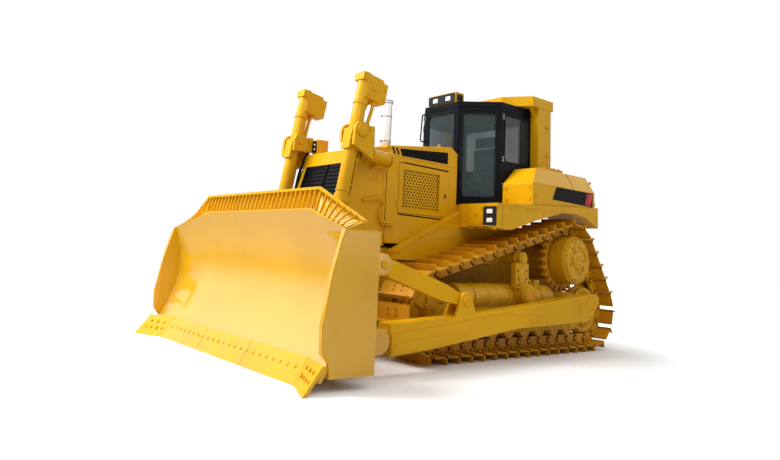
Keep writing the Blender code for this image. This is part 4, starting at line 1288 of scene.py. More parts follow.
class BULLDOZER_OT_push_arms(Operator):
    """Plates, pin caps and straps on the push arms, brace and tilt cylinder"""

    bl_idname = "bulldozer.push_arms"
    bl_label = "Push arms"

    def execute(self, context):
        for side, label in SIDES:
            self.plates(side, label)
        self.tilt()
        return {"FINISHED"}

    def plates(self, side, label):
        out = LEFT * side
        face = ARM_FACE
        shape = Shape()
        upper = [(-2.015, 0.455), (-0.24, 0.628), (0.77, 0.600), (0.52, 0.535), (0.26, 0.462), (-1.46, 0.262),
                 (-2.015, 0.222)]
        shape.plate(upper, side * face, side * (face + 0.010))
        lower = [(-1.98, 0.335), (-1.50, 0.392), (-0.70, 0.455), (-1.44, 0.275), (-1.98, 0.230)]
        shape.plate(lower, side * (face + 0.010), side * (face + 0.018))
        shape.plate(rounded([(0.40, 0.515), (0.72, 0.555), (0.70, 0.580), (0.42, 0.552)], 0.01),
                    side * face, side * (face + 0.016))
        tail = [(1.90, 0.56), (1.98, 0.60), (2.155, 0.775), (2.155, 0.835), (2.09, 0.875), (1.60, 0.83),
                (1.62, 0.60)]
        shape.plate(rounded(tail, 0.02), side * face, side * (face + 0.006))
        shape.box((side * face, -2.018, 0.22), (side * (face + 0.022), -1.996, 0.45))
        for x in (ARM_BACK - 0.0005, ARM_FACE + 0.0005):
            way = 1 if x > 1.6 else -1
            shape.cap(0.070, 0.062, 0.016, (side * x, BRACE_FOOT.y, BRACE_FOOT.z), (side * way, 0, 0), 24)
        shape.piece(f"arm_plates_{label}", "paint", "blade_group", "yellow_paint", 0.003)
        spots = ring_spots((side * (face + 0.006), *ARM_PIVOT.yz), out, 0.10, 6)
        pin = Vector((side * (face + 0.016), *BRACE_FOOT.yz))
        spots += [(pin + BACK * shift, out) for shift in (-0.03, 0.03)]
        spots += [(Vector((side * (face + 0.006), 1.66, z)), out) for z in (0.66, 0.74)]
        bolts(f"arm_bolts_{label}", spots, 0.014, "blade_group")

    def tilt(self):
        """Gland, port blocks and hard lines on the right side's tilt cylinder."""
        foot, head = BRACE_FOOT.yz, BRACE_EYE.yz
        ahead = (head - foot).normalized()
        up = Vector((ahead.y, -ahead.x))

        def point(distance, across, x=-1.64):
            y, z = foot + ahead * distance + up * across
            return Vector((x, y, z))

        shape = Shape()
        run = Vector((0, ahead.x, ahead.y))
        for distance in (0.80, 0.155):
            shape.ring(0.098, 0.112, 0.022, point(distance, 0), run, 28)
        for distance in (0.24, 0.74):
            shape.box(point(distance - 0.03, 0.085, -1.67), point(distance + 0.03, 0.14, -1.61))
        shape.tube([point(0.74, 0.145), point(0.70, 0.165), point(0.30, 0.165), point(0.24, 0.145)], 0.013, 8)
        shape.piece("tilt_cylinder_lines", "paint", "blade_group", "yellow_paint", 0.003)


# Nose and hood

DOOR_LOW, DOOR_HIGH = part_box("engine_door_left")
GRILLE_LOW, GRILLE_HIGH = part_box("radiator_grille")
HOOD_FOOT, HOOD_HEAD = Vector((-1.20, 2.79)), Vector((0.07, 2.95))  # (y, z) of the sloping top's ends
HOOD_STRIP = [(-0.975, 2.775), (-0.01, 2.855), (-0.01, 2.680), (-0.935, 2.680)]


class BULLDOZER_OT_nose(Operator):
    """Fits the grille's bars, the lamps, and the guard's seams, bolts and hose"""

    bl_idname = "bulldozer.nose"
    bl_label = "Nose"

    def execute(self, context):
        self.grille()
        for side, label in SIDES:
            self.lamp(label)
            self.side(side, label)
        return {"FINISHED"}

    def grille(self):
        """Bars on the slanted upper face and the upright lower one, with a middle post."""
        count = settings("panels").bars
        kink = Vector((0, GRILLE_LOW.y - 0.004, 1.97))
        head, foot = Vector((0, -1.734, GRILLE_HIGH.z - 0.02)), Vector((0, -1.874, GRILLE_LOW.z + 0.02))
        wide = GRILLE_HIGH.x - GRILLE_LOW.x - 0.004
        upper = round(count * 0.6)
        tilt = math.atan2(head.y - kink.y, head.z - kink.z)
        for name, start, end, number, lean in (
            ("grille_bars_upper", kink, head, upper, -tilt),
            ("grille_bars_lower", foot, kink, count - upper, 0.03),
        ):
            step = (end - start) / number
            bars(name, start + step / 2, step, number, Vector((wide, 0.022, 0.016)), "black",
                 (lean + 0.35, 0, 0), slot="black_paint")
        shape = Shape()
        for x in (0.0, -0.515, 0.515):
            half = 0.012 if x == 0 else 0.014
            line = [(head.y - 0.016, head.z + 0.018), (kink.y - 0.016, kink.z),
                    (foot.y - 0.012, foot.z - 0.018),
                    (foot.y + 0.006, foot.z - 0.018), (kink.y + 0.004, kink.z),
                    (head.y + 0.004, head.z + 0.018)]
            shape.plate(line, x - half, x + half)
        shape.piece("grille_posts", "black", slot="black_paint", bevel=0.002)

    def lamp(self, label):
        """A bezel round a dark lens with two bulbs, and the foot under the headlamp."""
        low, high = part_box(f"headlamp_{label}")
        middle = (low.x + high.x) / 2
        shape = Shape()
        outer = rectangle(low.x + 0.010, low.z + 0.018, high.x - 0.010, high.z - 0.030, 0.016)
        inner = rectangle(low.x + 0.026, low.z + 0.036, high.x - 0.026, high.z - 0.048, 0.010)
        shape.plate(outer, low.y - 0.010, low.y + 0.004, "xz", holes=[inner])
        shape.piece(f"headlamp_bezel_{label}", "plastic", bevel=0.002)
        lens = Shape()
        lens.plate(inner, low.y - 0.004, low.y + 0.003, "xz")
        lens.piece(f"headlamp_lens_{label}", "decal")
        glow = Shape()
        for z in (low.z + 0.072, high.z - 0.084):
            glow.turned(((0.0, 0.0), (0.015, 0.0), (0.012, 0.006), (0.0, 0.009)), (middle, low.y - 0.004, z),
                        (0, -1, 0), 24)
        glow.piece(f"headlamp_bulbs_{label}", "lens")
        foot = Shape()
        foot.box((low.x + 0.015, -1.64, 2.68), (high.x - 0.015, -1.47, 2.735))
        foot.piece(f"headlamp_foot_{label}", "paint", slot="yellow_paint", bevel=0.004)

    def side(self, side, label):
        """The guard's side: seam, raised edge, bolts and the bent tube that runs back from it."""
        out = LEFT * side
        face = HOOD_HALF
        shape = Shape()
        shape.box((side * (face - 0.004), -1.2032, 1.47), (side * (face + 0.0008), -1.1972, 2.785))
        shape.piece(f"hood_seam_{label}", "hole")
        shape = Shape()
        edge = [(-1.895, 1.45), (-1.905, 1.96), (-1.74, 2.495), (-1.712, 2.665), (-1.215, 2.752),
                (-1.215, 1.45)]
        inner = [(-1.850, 1.50), (-1.860, 1.955), (-1.698, 2.480), (-1.680, 2.620), (-1.260, 2.700),
                 (-1.260, 1.50)]
        shape.plate(edge, side * face, side * (face + 0.007), holes=[inner])
        shape.plate(rounded([(-1.60, 2.44), (-1.60, 2.56), (-1.50, 2.60), (-1.38, 2.60), (-1.38, 2.44)],
                            0.02),
                    side * face, side * (face + 0.006))
        x = side * (face + 0.045)
        hose = [(side * (face - 0.01), -1.60, 1.99), (x, -1.60, 2.00), (x, -1.33, 2.05), (x, -1.245, 1.965),
                (x, -1.345, 1.84), (x, -1.315, 1.735), (x, -1.10, 1.725),
                (side * (face - 0.01), -1.10, 1.725)]
        shape.tube(hose, 0.015, 10, 0.045)
        for y, z in ((-1.60, 1.99), (-1.10, 1.725)):
            shape.cap(0.030, 0.026, 0.014, (side * face, y, z), out, 16)
        shape.box((side * face, -1.30, 1.700), (side * (face + 0.060), -1.08, 1.712))
        shape.piece(f"nose_side_{label}", "paint", slot="yellow_paint", bevel=0.003)
        spots = [(Vector((side * face, *spot)), out)
                 for spot in ((-1.385, 2.330), (-1.365, 2.288), (-1.410, 2.290), (-1.16, 1.56), (-1.16, 1.50),
                              (-1.10, 1.53))]
        spots += row_spots((side * (face + 0.007), -1.237, 1.55), (side * (face + 0.007), -1.237, 2.68), 7,
                           out)
        bolts(f"nose_bolts_{label}", spots, settings("fasteners").small)


class BULLDOZER_OT_hood(Operator):
    """Fits the hood's strips, slots, perforated doors, top panels and exhaust fittings"""

    bl_idname = "bulldozer.hood"
    bl_label = "Hood"

    def execute(self, context):
        for side, label in SIDES:
            self.strips(side, label)
            self.door(side, label)
        self.top()
        self.exhaust()
        return {"FINISHED"}

    def strips(self, side, label):
        """The black strip with its two slashes ahead, its bead, and the slots over and under the door."""
        face = HOOD_HALF
        shape = Shape()
        shape.plate(HOOD_STRIP, side * (face + 0.0002), side * (face + 0.0018))
        for start in (-1.058, -1.132):
            slash = [(start, 2.778), (start + 0.034, 2.778), (start + 0.080, 2.690), (start + 0.046, 2.690)]
            shape.plate(slash, side * (face + 0.0002), side * (face + 0.0018))
        shape.piece(f"hood_strip_{label}", "decal", slot="black_paint")
        shape = Shape()
        bead = [(-0.955, 2.662), (0.165, 2.654), (0.186, 2.860)]
        shape.tube([(side * (face + 0.002), y, z) for y, z in bead], 0.008, 8, 0.02)
        shape.piece(f"hood_bead_{label}", "paint", slot="yellow_paint")
        # Each slot is a thin dark plate: painted shade inside it.
        slots = Shape()
        for (y_low, y_high), z, drop in (((-0.89, 0.002), 2.600, -0.018), ((-0.97, -0.005), 1.876, -0.012)):
            line = [(y_low, z), (y_high, z + drop), (y_high, z + drop - 0.020), (y_low, z - 0.020)]
            slots.plate(line, side * (face - 0.002), side * (face + 0.0012))
        slots.piece(f"hood_slots_{label}", "hole")

    def door(self, side, label):
        """A framed door whose middle is perforated sheet, with a latch, hinges and a raised rim."""
        body = f"engine_door_{label}"
        y_low, y_high, z_low, z_high = DOOR_LOW.y, DOOR_HIGH.y, DOOR_LOW.z, DOOR_HIGH.z
        window = (-0.885, 1.965, -0.175, 2.500)
        back, face = side * (HOOD_HALF - 0.026), side * (HOOD_HALF - 0.0005)
        shape = Shape()
        shape.plate(rectangle(y_low + 0.002, z_low + 0.002, y_high - 0.002, z_high - 0.002, 0.02), back, face,
                    holes=[rectangle(*window, 0.012)])
        ahead = side * (HOOD_HALF + 0.004)
        rim = rectangle(window[0] - 0.014, window[1] - 0.014, window[2] + 0.014, window[3] + 0.014, 0.016)
        shape.plate(rim, face, ahead, holes=[rectangle(*window, 0.012)])
        latch = Vector((side * HOOD_HALF, -0.055, 2.20))
        shape.plate(rounded([(-0.085, 2.165), (-0.025, 2.165), (-0.025, 2.235), (-0.085, 2.235)], 0.012),
                    side * (HOOD_HALF - 0.001), side * (HOOD_HALF + 0.006))
        shape.piece(f"{body}_panel", "paint", body, "yellow_paint", 0.002, (body,))
        shape = Shape()
        shape.cap(0.018, 0.014, 0.012, latch + Vector((side * 0.006, 0, 0.008)), (side, 0, 0), 16)
        shape.box(latch + Vector((side * 0.004, -0.010, -0.028)),
                  latch + Vector((side * 0.014, 0.010, -0.008)))
        shape.piece(f"{body}_latch", "plastic", body)
        shape = Shape()
        for z in (z_low + 0.12, z_high - 0.12):
            post = Vector((side * (HOOD_HALF + 0.011), y_low - 0.018, z))
            shape.drum(post - Vector((0, 0, 0.05)), post + Vector((0, 0, 0.05)), 0.010, 12)
            leaf = rectangle(y_low - 0.060, z - 0.045, y_low - 0.018, z + 0.045)
            shape.plate(leaf, side * HOOD_HALF, side * (HOOD_HALF + 0.006))
        shape.piece(f"{body}_hinges", "paint", slot="yellow_paint", bevel=0.002)
        self.perforated(side, body, window)

    def perforated(self, side, body, window):
        """A sheet of cells, each a square with a round hole; every other row is set over by half a cell."""
        chosen = settings("panels")
        y_low, z_low, y_high, z_high = window
        cell = Vector(((y_high - y_low) / (chosen.hole_columns + 0.5), (z_high - z_low) / chosen.hole_rows))
        values = {
            "Columns": chosen.hole_columns, "Rows": chosen.hole_rows, "Cell": (cell.x, cell.y, 0.0),
            "Hole Radius": min(cell) * 0.38, "Corner": (side * (HOOD_HALF - 0.010), y_low, z_low),
        }
        mesh = pattern("holes", hole_pattern).run("holes", bpy.data.meshes.new("empty"), "paint", values)
        form = bmesh.new()
        form.from_mesh(mesh)
        bmesh.ops.remove_doubles(form, verts=form.verts, dist=1e-5)
        bmesh.ops.recalc_face_normals(form, faces=form.faces)
        raised = bmesh.ops.extrude_face_region(form, geom=form.faces[:])
        shift = [item for item in raised["geom"] if isinstance(item, bmesh.types.BMVert)]
        bmesh.ops.translate(form, vec=(-side * 0.003, 0, 0), verts=shift)
        bmesh.ops.recalc_face_normals(form, faces=form.faces)
        form.to_mesh(mesh)
        form.free()
        hand_over(f"{body}_mesh", mesh, "paint", body, "yellow_paint")
        # A dark sheet behind the holes: painted shade inside the engine bay.
        shape = Shape()
        shape.plate(rectangle(y_low - 0.02, z_low - 0.02, y_high + 0.02, z_high + 0.02),
                    side * (HOOD_HALF - 0.0275), side * (HOOD_HALF - 0.0265))
        shape.piece(f"{body}_baffle", "hole", body)

    def top(self):
        """Panel joints, screws, two raised ribs and four lifting eyes on the hood's top."""
        run = HOOD_HEAD - HOOD_FOOT
        upwards = Vector((0, -run.y, run.x)).normalized()

        def on_top(y, lift=0.0):
            return HOOD_FOOT.y + (y - HOOD_FOOT.x) * run.y / run.x + lift

        shape = Shape()
        for y in (-0.98, -0.18):
            shape.box((-0.58, y - 0.004, on_top(y) - 0.006), (0.58, y + 0.004, on_top(y) + 0.0015))
        shape.piece("hood_top_joints", "hole")
        shape = Shape()
        ridge = [(-1.16, on_top(-1.16)), (0.0, on_top(0.0)), (0.0, on_top(0.0, 0.010)),
                 (-1.16, on_top(-1.16, 0.010))]
        for x in (-0.36, 0.36):
            shape.plate(ridge, x - 0.025, x + 0.025)
        for y in (-1.08, -0.06):
            for x in (-0.48, 0.48):
                eye = arc((y, on_top(y) + 0.030), 0.026, 0, 180, 8) + [(y - 0.026, on_top(y) - 0.004),
                                                                       (y + 0.026, on_top(y) - 0.004)]
                shape.plate(eye, x - 0.007, x + 0.007, holes=[arc((y, on_top(y) + 0.030), 0.011, 0, 324, 9)])
        shape.piece("hood_top_ribs", "paint", slot="yellow_paint", bevel=0.003)
        spots = []
        for x in (-0.55, -0.20, 0.20, 0.55):
            for y in (-1.02, -0.94, -0.22, -0.14):
                spots.append((Vector((x, y, on_top(y))), upwards))
        bolts("hood_top_screws", spots, settings("fasteners").small)

    def exhaust(self):
        """Collar and clamps round the stack, and the rim round its outlet, which is filled by a black disc of
        painted shade.
        """
        low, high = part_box("exhaust_stack")
        middle = (low + high) / 2
        base = Vector((0, middle.y, 2.852))
        shape = Shape()
        shape.turned(((0.081, 0.0), (0.150, 0.0), (0.150, 0.012), (0.098, 0.020), (0.092, 0.055),
                      (0.081, 0.055)),
                     base, (0, 0.12, 1), 40)
        shape.piece("exhaust_collar", "paint", slot="yellow_paint", bevel=0.002)
        shape = Shape()
        for z in (2.98, 3.36):
            shape.ring(0.0805, 0.084, 0.010, (0, base.y, z), UP, 40)
            shape.box((-0.012, base.y - 0.105, z - 0.009), (0.012, base.y - 0.081, z + 0.009))
        shape.piece("exhaust_clamps", "steel")
        shape = Shape()
        mouth = Vector((0, middle.y, high.z))
        shape.turned(((0.060, 0.0), (0.096, 0.0), (0.096, 0.008), (0.060, 0.008)), mouth, UP, 40)
        shape.piece("exhaust_rim", "exhaust")
        # A black disc in the outlet: painted shade inside the open pipe.
        shape = Shape()
        shape.cap(0.060, 0.060, 0.003, mouth, UP, 40)
        shape.piece("exhaust_mouth", "decal")


def hole_pattern():
    """Cells with round holes on a grid; odd rows are set over by half a cell."""
    tree = Pattern("Perforated sheet")
    columns = tree.input("Columns", "Int", 11)
    rows = tree.input("Rows", "Int", 13)
    cell = tree.input("Cell", "Vector")
    radius = tree.input("Hole Radius", "Float", 0.012)
    corner = tree.input("Corner", "Vector")
    size = tree.node("ShaderNodeSeparateXYZ", None, {0: cell})
    wide, tall = size["X"], size["Y"]
    ring = tree.node("GeometryNodeCurvePrimitiveCircle", None, {"Resolution": 12, "Radius": radius})["Curve"]
    square = tree.node("GeometryNodeCurvePrimitiveQuadrilateral", None, {"Width": wide, "Height": tall})[0]
    filled = tree.node("GeometryNodeFillCurve", None, {0: tree.join(square, ring)})[0]
    number = tree.node("GeometryNodeInputIndex")[0]
    row = number.math("FLOOR", number.math("DIVIDE", number, columns))
    column = number.math("SUBTRACT", number, row * columns)
    odd = row.math("MODULO", row, 2.0)
    across = (column + 0.5 + odd * 0.5) * wide
    up = (row + 0.5) * tall
    total = columns.math("MULTIPLY", columns, rows)
    cloud = tree.node("GeometryNodePoints", None, {"Count": total})[0]
    values = {0: tree.vector(0.0, across, up), 1: corner}
    place = tree.node("ShaderNodeVectorMath", {"operation": "ADD"}, values)[0]
    cloud = tree.node("GeometryNodeSetPosition", None, {"Geometry": cloud, "Position": place})[0]
    turn = tree.node("FunctionNodeEulerToRotation", None, {0: (math.pi / 2, 0.0, math.pi / 2)})[0]
    values = {"Points": cloud, "Instance": filled, "Rotation": turn}
    return tree.close(tree.node("GeometryNodeInstanceOnPoints", None, values)[0])


# Lift gear


class BULLDOZER_OT_lift(Operator):
    """Fits caps, valve blocks, hard lines and hoses on the lift cylinders and their yokes"""

    bl_idname = "bulldozer.lift"
    bl_label = "Lift cylinders"

    def execute(self, context):
        self.down = (LIFT_EYE - LIFT_PIVOT).normalized()
        self.front = Vector((0, self.down.z, -self.down.y))
        for side, label in SIDES:
            self.cylinder(side, label)
            self.yoke(side, label)
        return {"FINISHED"}

    def point(self, side, distance, across=0.0, x=0.0):
        """A place down the cylinder from its pivot, forwards of its axis, and out from it."""
        place = LIFT_PIVOT + self.down * distance + self.front * across
        return Vector((side * (LIFT_X + x), place.y, place.z))

    def cylinder(self, side, label):
        body = f"lift_barrel_{label}"
        out = LEFT * side
        shape = Shape()
        for distance, radius, wide in ((0.93, 0.106, 0.026), (0.80, 0.096, 0.012), (-0.40, 0.098, 0.022)):
            shape.ring(0.086, radius, wide, self.point(side, distance), self.down, 32)
        cap = self.point(side, -0.80)
        dome = ((0.0, 0.0), (0.082, 0.0), (0.076, 0.020), (0.030, 0.028), (0.0, 0.028))
        shape.turned(dome, cap, -self.down, 32)
        block = self.point(side, -0.62, -0.33)
        for x in (-0.05, 0.05):
            port = self.point(side, -0.48, -0.17, x)
            shape.turned(((0.0, -0.03), (0.028, -0.03), (0.028, 0.012), (0.020, 0.030), (0.0, 0.030)),
                         port, self.down, 16)
        shape.cap(0.045, 0.040, 0.018, block, -self.front, 20)
        lid = self.point(side, -0.64, -0.12, 0.100)
        shape.cap(0.048, 0.044, 0.014, lid, out, 20)
        shape.piece(f"lift_caps_{label}", "paint", body, "yellow_paint", 0.003)
        spots = ring_spots(cap, -self.down, 0.062, 8)
        spots = [(place - self.down * 0.019, way) for place, way in spots]
        spots += [(self.point(side, d, a, 0.100), out) for d,
                  a in ((-0.52, -0.29), (-0.52, -0.05), (-0.67, -0.29))]
        bolts(f"lift_bolts_{label}", spots, 0.011, body)
        self.lines(side, label, body)

    def lines(self, side, label, body):
        """The thick pipe to the pivot, the thin one down the barrel's back, and the guard ahead of it."""
        shape = Shape()
        thick = [self.point(side, -0.48, -0.17, 0.05), self.point(side, -0.36, -0.17, 0.05),
                 self.point(side, -0.12, -0.135, 0.05), self.point(side, -0.06, -0.10, 0.045)]
        shape.tube(thick, 0.024, 12, 0.06)
        shape.ring(0.0, 0.034, 0.02, self.point(side, -0.13, -0.138, 0.05), self.down, 6)
        thin = [self.point(side, -0.48, -0.16, -0.05), self.point(side, -0.36, -0.125, -0.05),
                self.point(side, 0.10, -0.125, -0.03), self.point(side, 0.30, -0.118, 0.02),
                self.point(side, 0.84, -0.118, 0.02), self.point(side, 0.885, -0.080, 0.01)]
        shape.tube(thin, 0.015, 10, 0.05)
        for near, far in ((0.342, 0.378), (0.682, 0.718)):
            shape.box(self.point(side, near, -0.135, -0.005), self.point(side, far, -0.075, 0.045))
        for corners, low, high in (
            (rectangle(-0.02, 0.096, 0.26, 0.104), -0.085, 0.085),
            (rectangle(-0.01, 0.05, 0.25, 0.098), -0.085, -0.079),
            (rectangle(-0.01, 0.05, 0.25, 0.098), 0.079, 0.085),
        ):
            outline = [self.point(side, *corner).yz for corner in corners]
            shape.plate(outline, side * (LIFT_X + low), side * (LIFT_X + high))
        shape.piece(f"lift_lines_{label}", "paint", body, "yellow_paint")

    def yoke(self, side, label):
        """Trunnion caps, the arm's flange and bolts, and hoses from the yoke into the nose."""
        out = LEFT * side
        shape = Shape()
        hub = Vector((side * 0.865, LIFT_PIVOT.y, LIFT_PIVOT.z))
        shape.turned(((0.0, 0.0), (0.088, 0.0), (0.088, 0.018), (0.060, 0.026), (0.0, 0.026)), hub, out, 32)
        shape.ring(0.098, 0.110, 0.012, (side * 0.75, -1.30, 2.562), (0, 1, 0.03), 28)
        shape.turned(((0.084, 0.0), (0.104, 0.0), (0.100, 0.03), (0.084, 0.03)),
                     (side * 0.75, -1.62, 2.588), (0, 1, -0.07), 28)
        shape.cap(0.086, 0.076, 0.016, (side * 0.75, -1.28, 2.56), (0, 1, -0.07), 28)
        shape.box((side * 0.622, -1.50, 2.42), (side * 0.645, -1.22, 2.72))
        shape.piece(f"yoke_caps_{label}", "paint", "root", "yellow_paint", 0.003)
        spots = ring_spots(hub + out * 0.018, out, 0.072, 8)
        spots += [(Vector((side * 0.7005, y, z)), out) for y in (-1.45, -1.27) for z in (2.47, 2.67)]
        spots += [(Vector((side * x, -1.715, z)), AHEAD) for x in (0.585, 0.832) for z in (2.775, 2.905)]
        bolts(f"yoke_bolts_{label}", spots, 0.013)
        hose = Shape()
        for x, z, drop in ((0.585, 2.62, 0.0), (0.640, 2.56, 0.05)):
            route = [(side * x, -1.69, z + 0.10), (side * (x + 0.01), -1.76, z + 0.02 - drop),
                     (side * (x + 0.02), -1.80, z - 0.20), (side * (x + 0.015), -1.84, z - 0.42),
                     (side * (x - 0.01), -1.86, z - 0.55)]
            hose.tube(route, 0.016, 10, 0.08, 5)
        hose.piece(f"yoke_hoses_{label}", "rubber")


# Cab and seat

CAB_NOSE_HALF, CAB_HALF = 0.36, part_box("cab_shell")[1].x
CAB_FRONT, CAB_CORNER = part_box("cab_shell")[0].y, 0.92
CAB_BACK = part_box("cab_shell")[1].y
DOOR_SLANT = math.atan2(CAB_CORNER - CAB_FRONT, CAB_HALF - CAB_NOSE_HALF)
DOOR_RUN = math.hypot(CAB_CORNER - CAB_FRONT, CAB_HALF - CAB_NOSE_HALF)
PANES = (
    ("windscreen", (-0.30, 2.35, 0.30, 3.62), "xz", CAB_FRONT, -1),
    ("rear_window", (-0.60, 2.86, 0.60, 3.58), "xz", CAB_BACK, 1),
    ("side_window_left", (1.00, 2.84, 1.68, 3.60), "yz", CAB_HALF, 1),
    ("side_window_right", (1.00, 2.84, 1.68, 3.60), "yz", -CAB_HALF, -1),
)


def on_door(side):
    """Takes x along a slanted wall, y inwards and z up to their place on that side of the cab."""
    place = Matrix.Translation((CAB_NOSE_HALF, CAB_FRONT, 0)) @ Matrix.Rotation(DOOR_SLANT, 4, "Z")
    return place if side > 0 else Matrix.Scale(-1, 4, (1, 0, 0)) @ place


class BULLDOZER_OT_cab(Operator):
    """Fits the cab's window seals, doors, hinges, handles, wiper and roof lamps"""

    bl_idname = "bulldozer.cab"
    bl_label = "Cab"

    def execute(self, context):
        self.seals()
        for side, label in SIDES:
            self.door(side, label)
            self.hinges(side, label)
        self.front()
        self.roof()
        return {"FINISHED"}

    def seals(self):
        """A rubber bead with rounded corners round each fixed pane."""
        for name, (u_low, v_low, u_high, v_high), plane, face, out in PANES:
            inner = rectangle(u_low + 0.014, v_low + 0.014, u_high - 0.014, v_high - 0.014, 0.055, 5)
            outer = rectangle(u_low - 0.012, v_low - 0.012, u_high + 0.012, v_high + 0.012, 0.065, 5)
            shape = Shape()
            shape.plate(outer, face + out * 0.0004, face + out * 0.0075, plane, holes=[inner])
            shape.piece(f"{name}_seal", "rubber", bevel=0.002)

    def door(self, side, label):
        """The glass seal, lock plate, lever and grab rail that swing with the door."""
        body, place = f"cab_door_{label}", on_door(side)
        glass = (0.085, 2.265, DOOR_RUN - 0.085, 3.590)
        inner = rectangle(glass[0] + 0.010, glass[1] + 0.010, glass[2] - 0.010, glass[3] - 0.010, 0.045, 5)
        outer = rectangle(glass[0] - 0.012, glass[1] - 0.012, glass[2] + 0.012, glass[3] + 0.012, 0.055, 5)
        shape = Shape()
        shape.plate(outer, -0.0065, -0.0004, "xz", place, [inner])
        shape.piece(f"{body}_seal", "rubber", body, bevel=0.002)
        shape = Shape()
        rail = ((-0.001, 2.62), (-0.036, 2.62), (-0.036, 3.02), (-0.001, 3.02))
        shape.tube([place @ Vector((0.064, *spot)) for spot in rail], 0.0085, 10, 0.02)
        shape.plate(rectangle(0.046, 2.40, 0.080, 2.53, 0.01), -0.012, -0.0004, "xz", place)
        lever = ((0.063, -0.010, 2.49), (0.063, -0.030, 2.48), (0.063, -0.034, 2.42))
        shape.tube([place @ Vector(spot) for spot in lever], 0.007, 8, 0.01)
        shape.piece(f"{body}_handle", "plastic", body, bevel=0.002)

    def hinges(self, side, label):
        """Hinge plates and bolts on the pillar behind each door, its rain channel and its door stop."""
        face, out = side * CAB_HALF, LEFT * side
        shape = Shape()
        for z in (2.46, 2.88, 3.55):
            shape.plate(rectangle(0.930, z - 0.055, 0.982, z + 0.055, 0.012), face, face + side * 0.007)
            shape.drum((face + side * 0.004, 0.924, z - 0.05), (face + side * 0.004, 0.924, z + 0.05), 0.012,
                       14)
        shape.box((face, 0.94, 3.645), (face + side * 0.012, 1.72, 3.662))
        knob = Vector((face, 0.94, 3.06))
        shape.turned(((0.0, 0.0), (0.016, 0.0), (0.016, 0.012), (0.024, 0.018), (0.020, 0.034), (0.0, 0.036)),
                     knob, out, 20)
        shape.piece(f"cab_hinges_{label}", "black", slot="black_paint", bevel=0.002)
        spots = [(Vector((face + side * 0.007, y, z + rise)), out)
                 for z in (2.46, 2.88, 3.55) for y in (0.944, 0.970) for rise in (-0.030, 0.0, 0.030)]
        bolts(f"cab_hinge_bolts_{label}", spots, 0.008, finish="steel", slot=None)

    def front(self):
        """Wiper, grab loop and the strip under the windscreen."""
        face = CAB_FRONT
        shape = Shape()
        shape.cap(0.020, 0.016, 0.020, (0.0, face, 2.315), AHEAD, 18)
        shape.tube([(0.0, face - 0.016, 2.315), (0.055, face - 0.020, 2.62), (0.075, face - 0.018, 2.78)],
                   0.006, 8)
        shape.box((0.064, face - 0.017, 2.56), (0.078, face - 0.009, 3.08), Euler((0, 0.10, 0)))
        shape.box((-0.33, face - 0.006, 2.225), (0.33, face, 2.245))
        loop = [(-0.335, face + 0.004, 3.655), (-0.365, face - 0.070, 3.655), (-0.395, face - 0.070, 3.20),
                (-0.350, face + 0.004, 3.20)]
        shape.tube(loop, 0.012, 10, 0.04)
        shape.piece("cab_front_fittings", "plastic")

    def roof(self):
        """Two work lamps in the bar, a lifting ring and the roof's raised panel."""
        low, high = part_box("cab_lamp_bar")
        housing, glow = Shape(), Shape()
        front = rectangle(low.x + 0.012, low.z + 0.012, high.x - 0.012, high.z - 0.016, 0.02)
        lamps = [rectangle(x - 0.055, low.z + 0.045, x + 0.055, high.z - 0.055, 0.012) for x in (-0.14, 0.14)]
        housing.plate(front, low.y - 0.014, low.y, "xz", holes=lamps)
        for lamp in lamps:
            glow.plate(lamp, low.y - 0.006, low.y - 0.001, "xz")
        side = rectangle(low.y + 0.035, low.z + 0.035, high.y - 0.035, high.z - 0.035, 0.02)
        housing.plate(side, high.x, high.x + 0.008)
        housing.plate(side, low.x - 0.008, low.x)
        housing.piece("roof_lamp_housings", "plastic", bevel=0.002)
        glow.piece("roof_lamp_lenses", "lens")
        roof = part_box("cab_roof")[1].z
        shape = Shape()
        shape.plate(rectangle(-0.55, 0.98, 0.55, 1.60, 0.06), roof, roof + 0.008, "xy")
        ring = arc((0.80, roof + 0.030), 0.028, 0, 180, 8) + [(0.772, roof - 0.002), (0.828, roof - 0.002)]
        shape.plate(ring, 0.285, 0.299, holes=[arc((0.80, roof + 0.032), 0.013, 0, 324, 9)])
        shape.piece("roof_fittings", "black", slot="black_paint", bevel=0.003)


def cushion(name, low, high, dents, across):
    """A crowned pad: soft sides that pull in between its corners, with sewn channels across its face."""
    form = bmesh.new()
    bmesh.ops.create_cube(form, size=2.0)
    bmesh.ops.subdivide_edges(form, edges=form.edges[:], cuts=15, use_grid_fill=True)
    middle, half = (low + high) / 2, (high - low) / 2
    thin = min(range(3), key=lambda axis: half[axis])
    flat = [axis for axis in range(3) if axis != thin]
    for vert in form.verts:
        spot = vert.co.copy()
        u, v = spot[flat[0]], spot[flat[1]]
        crown = (1 - u * u) * (1 - v * v)
        swell = 0.76 + 0.24 * crown ** 0.45
        for dent in dents:
            place = spot[across]
            swell -= 0.10 * math.exp(-((place - dent) / 0.045) ** 2) * (0.35 + 0.65 * crown)
        vert.co[thin] = spot[thin] * swell
        for axis, other in (flat, flat[::-1]):
            pull = 1 - 0.035 * (1 - spot[other] ** 2) * (1 if abs(spot[axis]) > 0.9 else abs(spot[axis]))
            corner = 1 - 0.06 * max(0.0, abs(spot[axis]) - 0.8) / 0.2 * max(0.0, abs(spot[other]) - 0.8) / 0.2
            belly = 1 - 0.05 * spot[thin] ** 2
            vert.co[axis] = spot[axis] * pull * corner * belly
    for vert in form.verts:
        vert.co = Vector((vert.co[i] * half[i] for i in range(3))) + middle
    mesh = bpy.data.meshes.new(name)
    form.to_mesh(mesh)
    form.free()
    return mesh


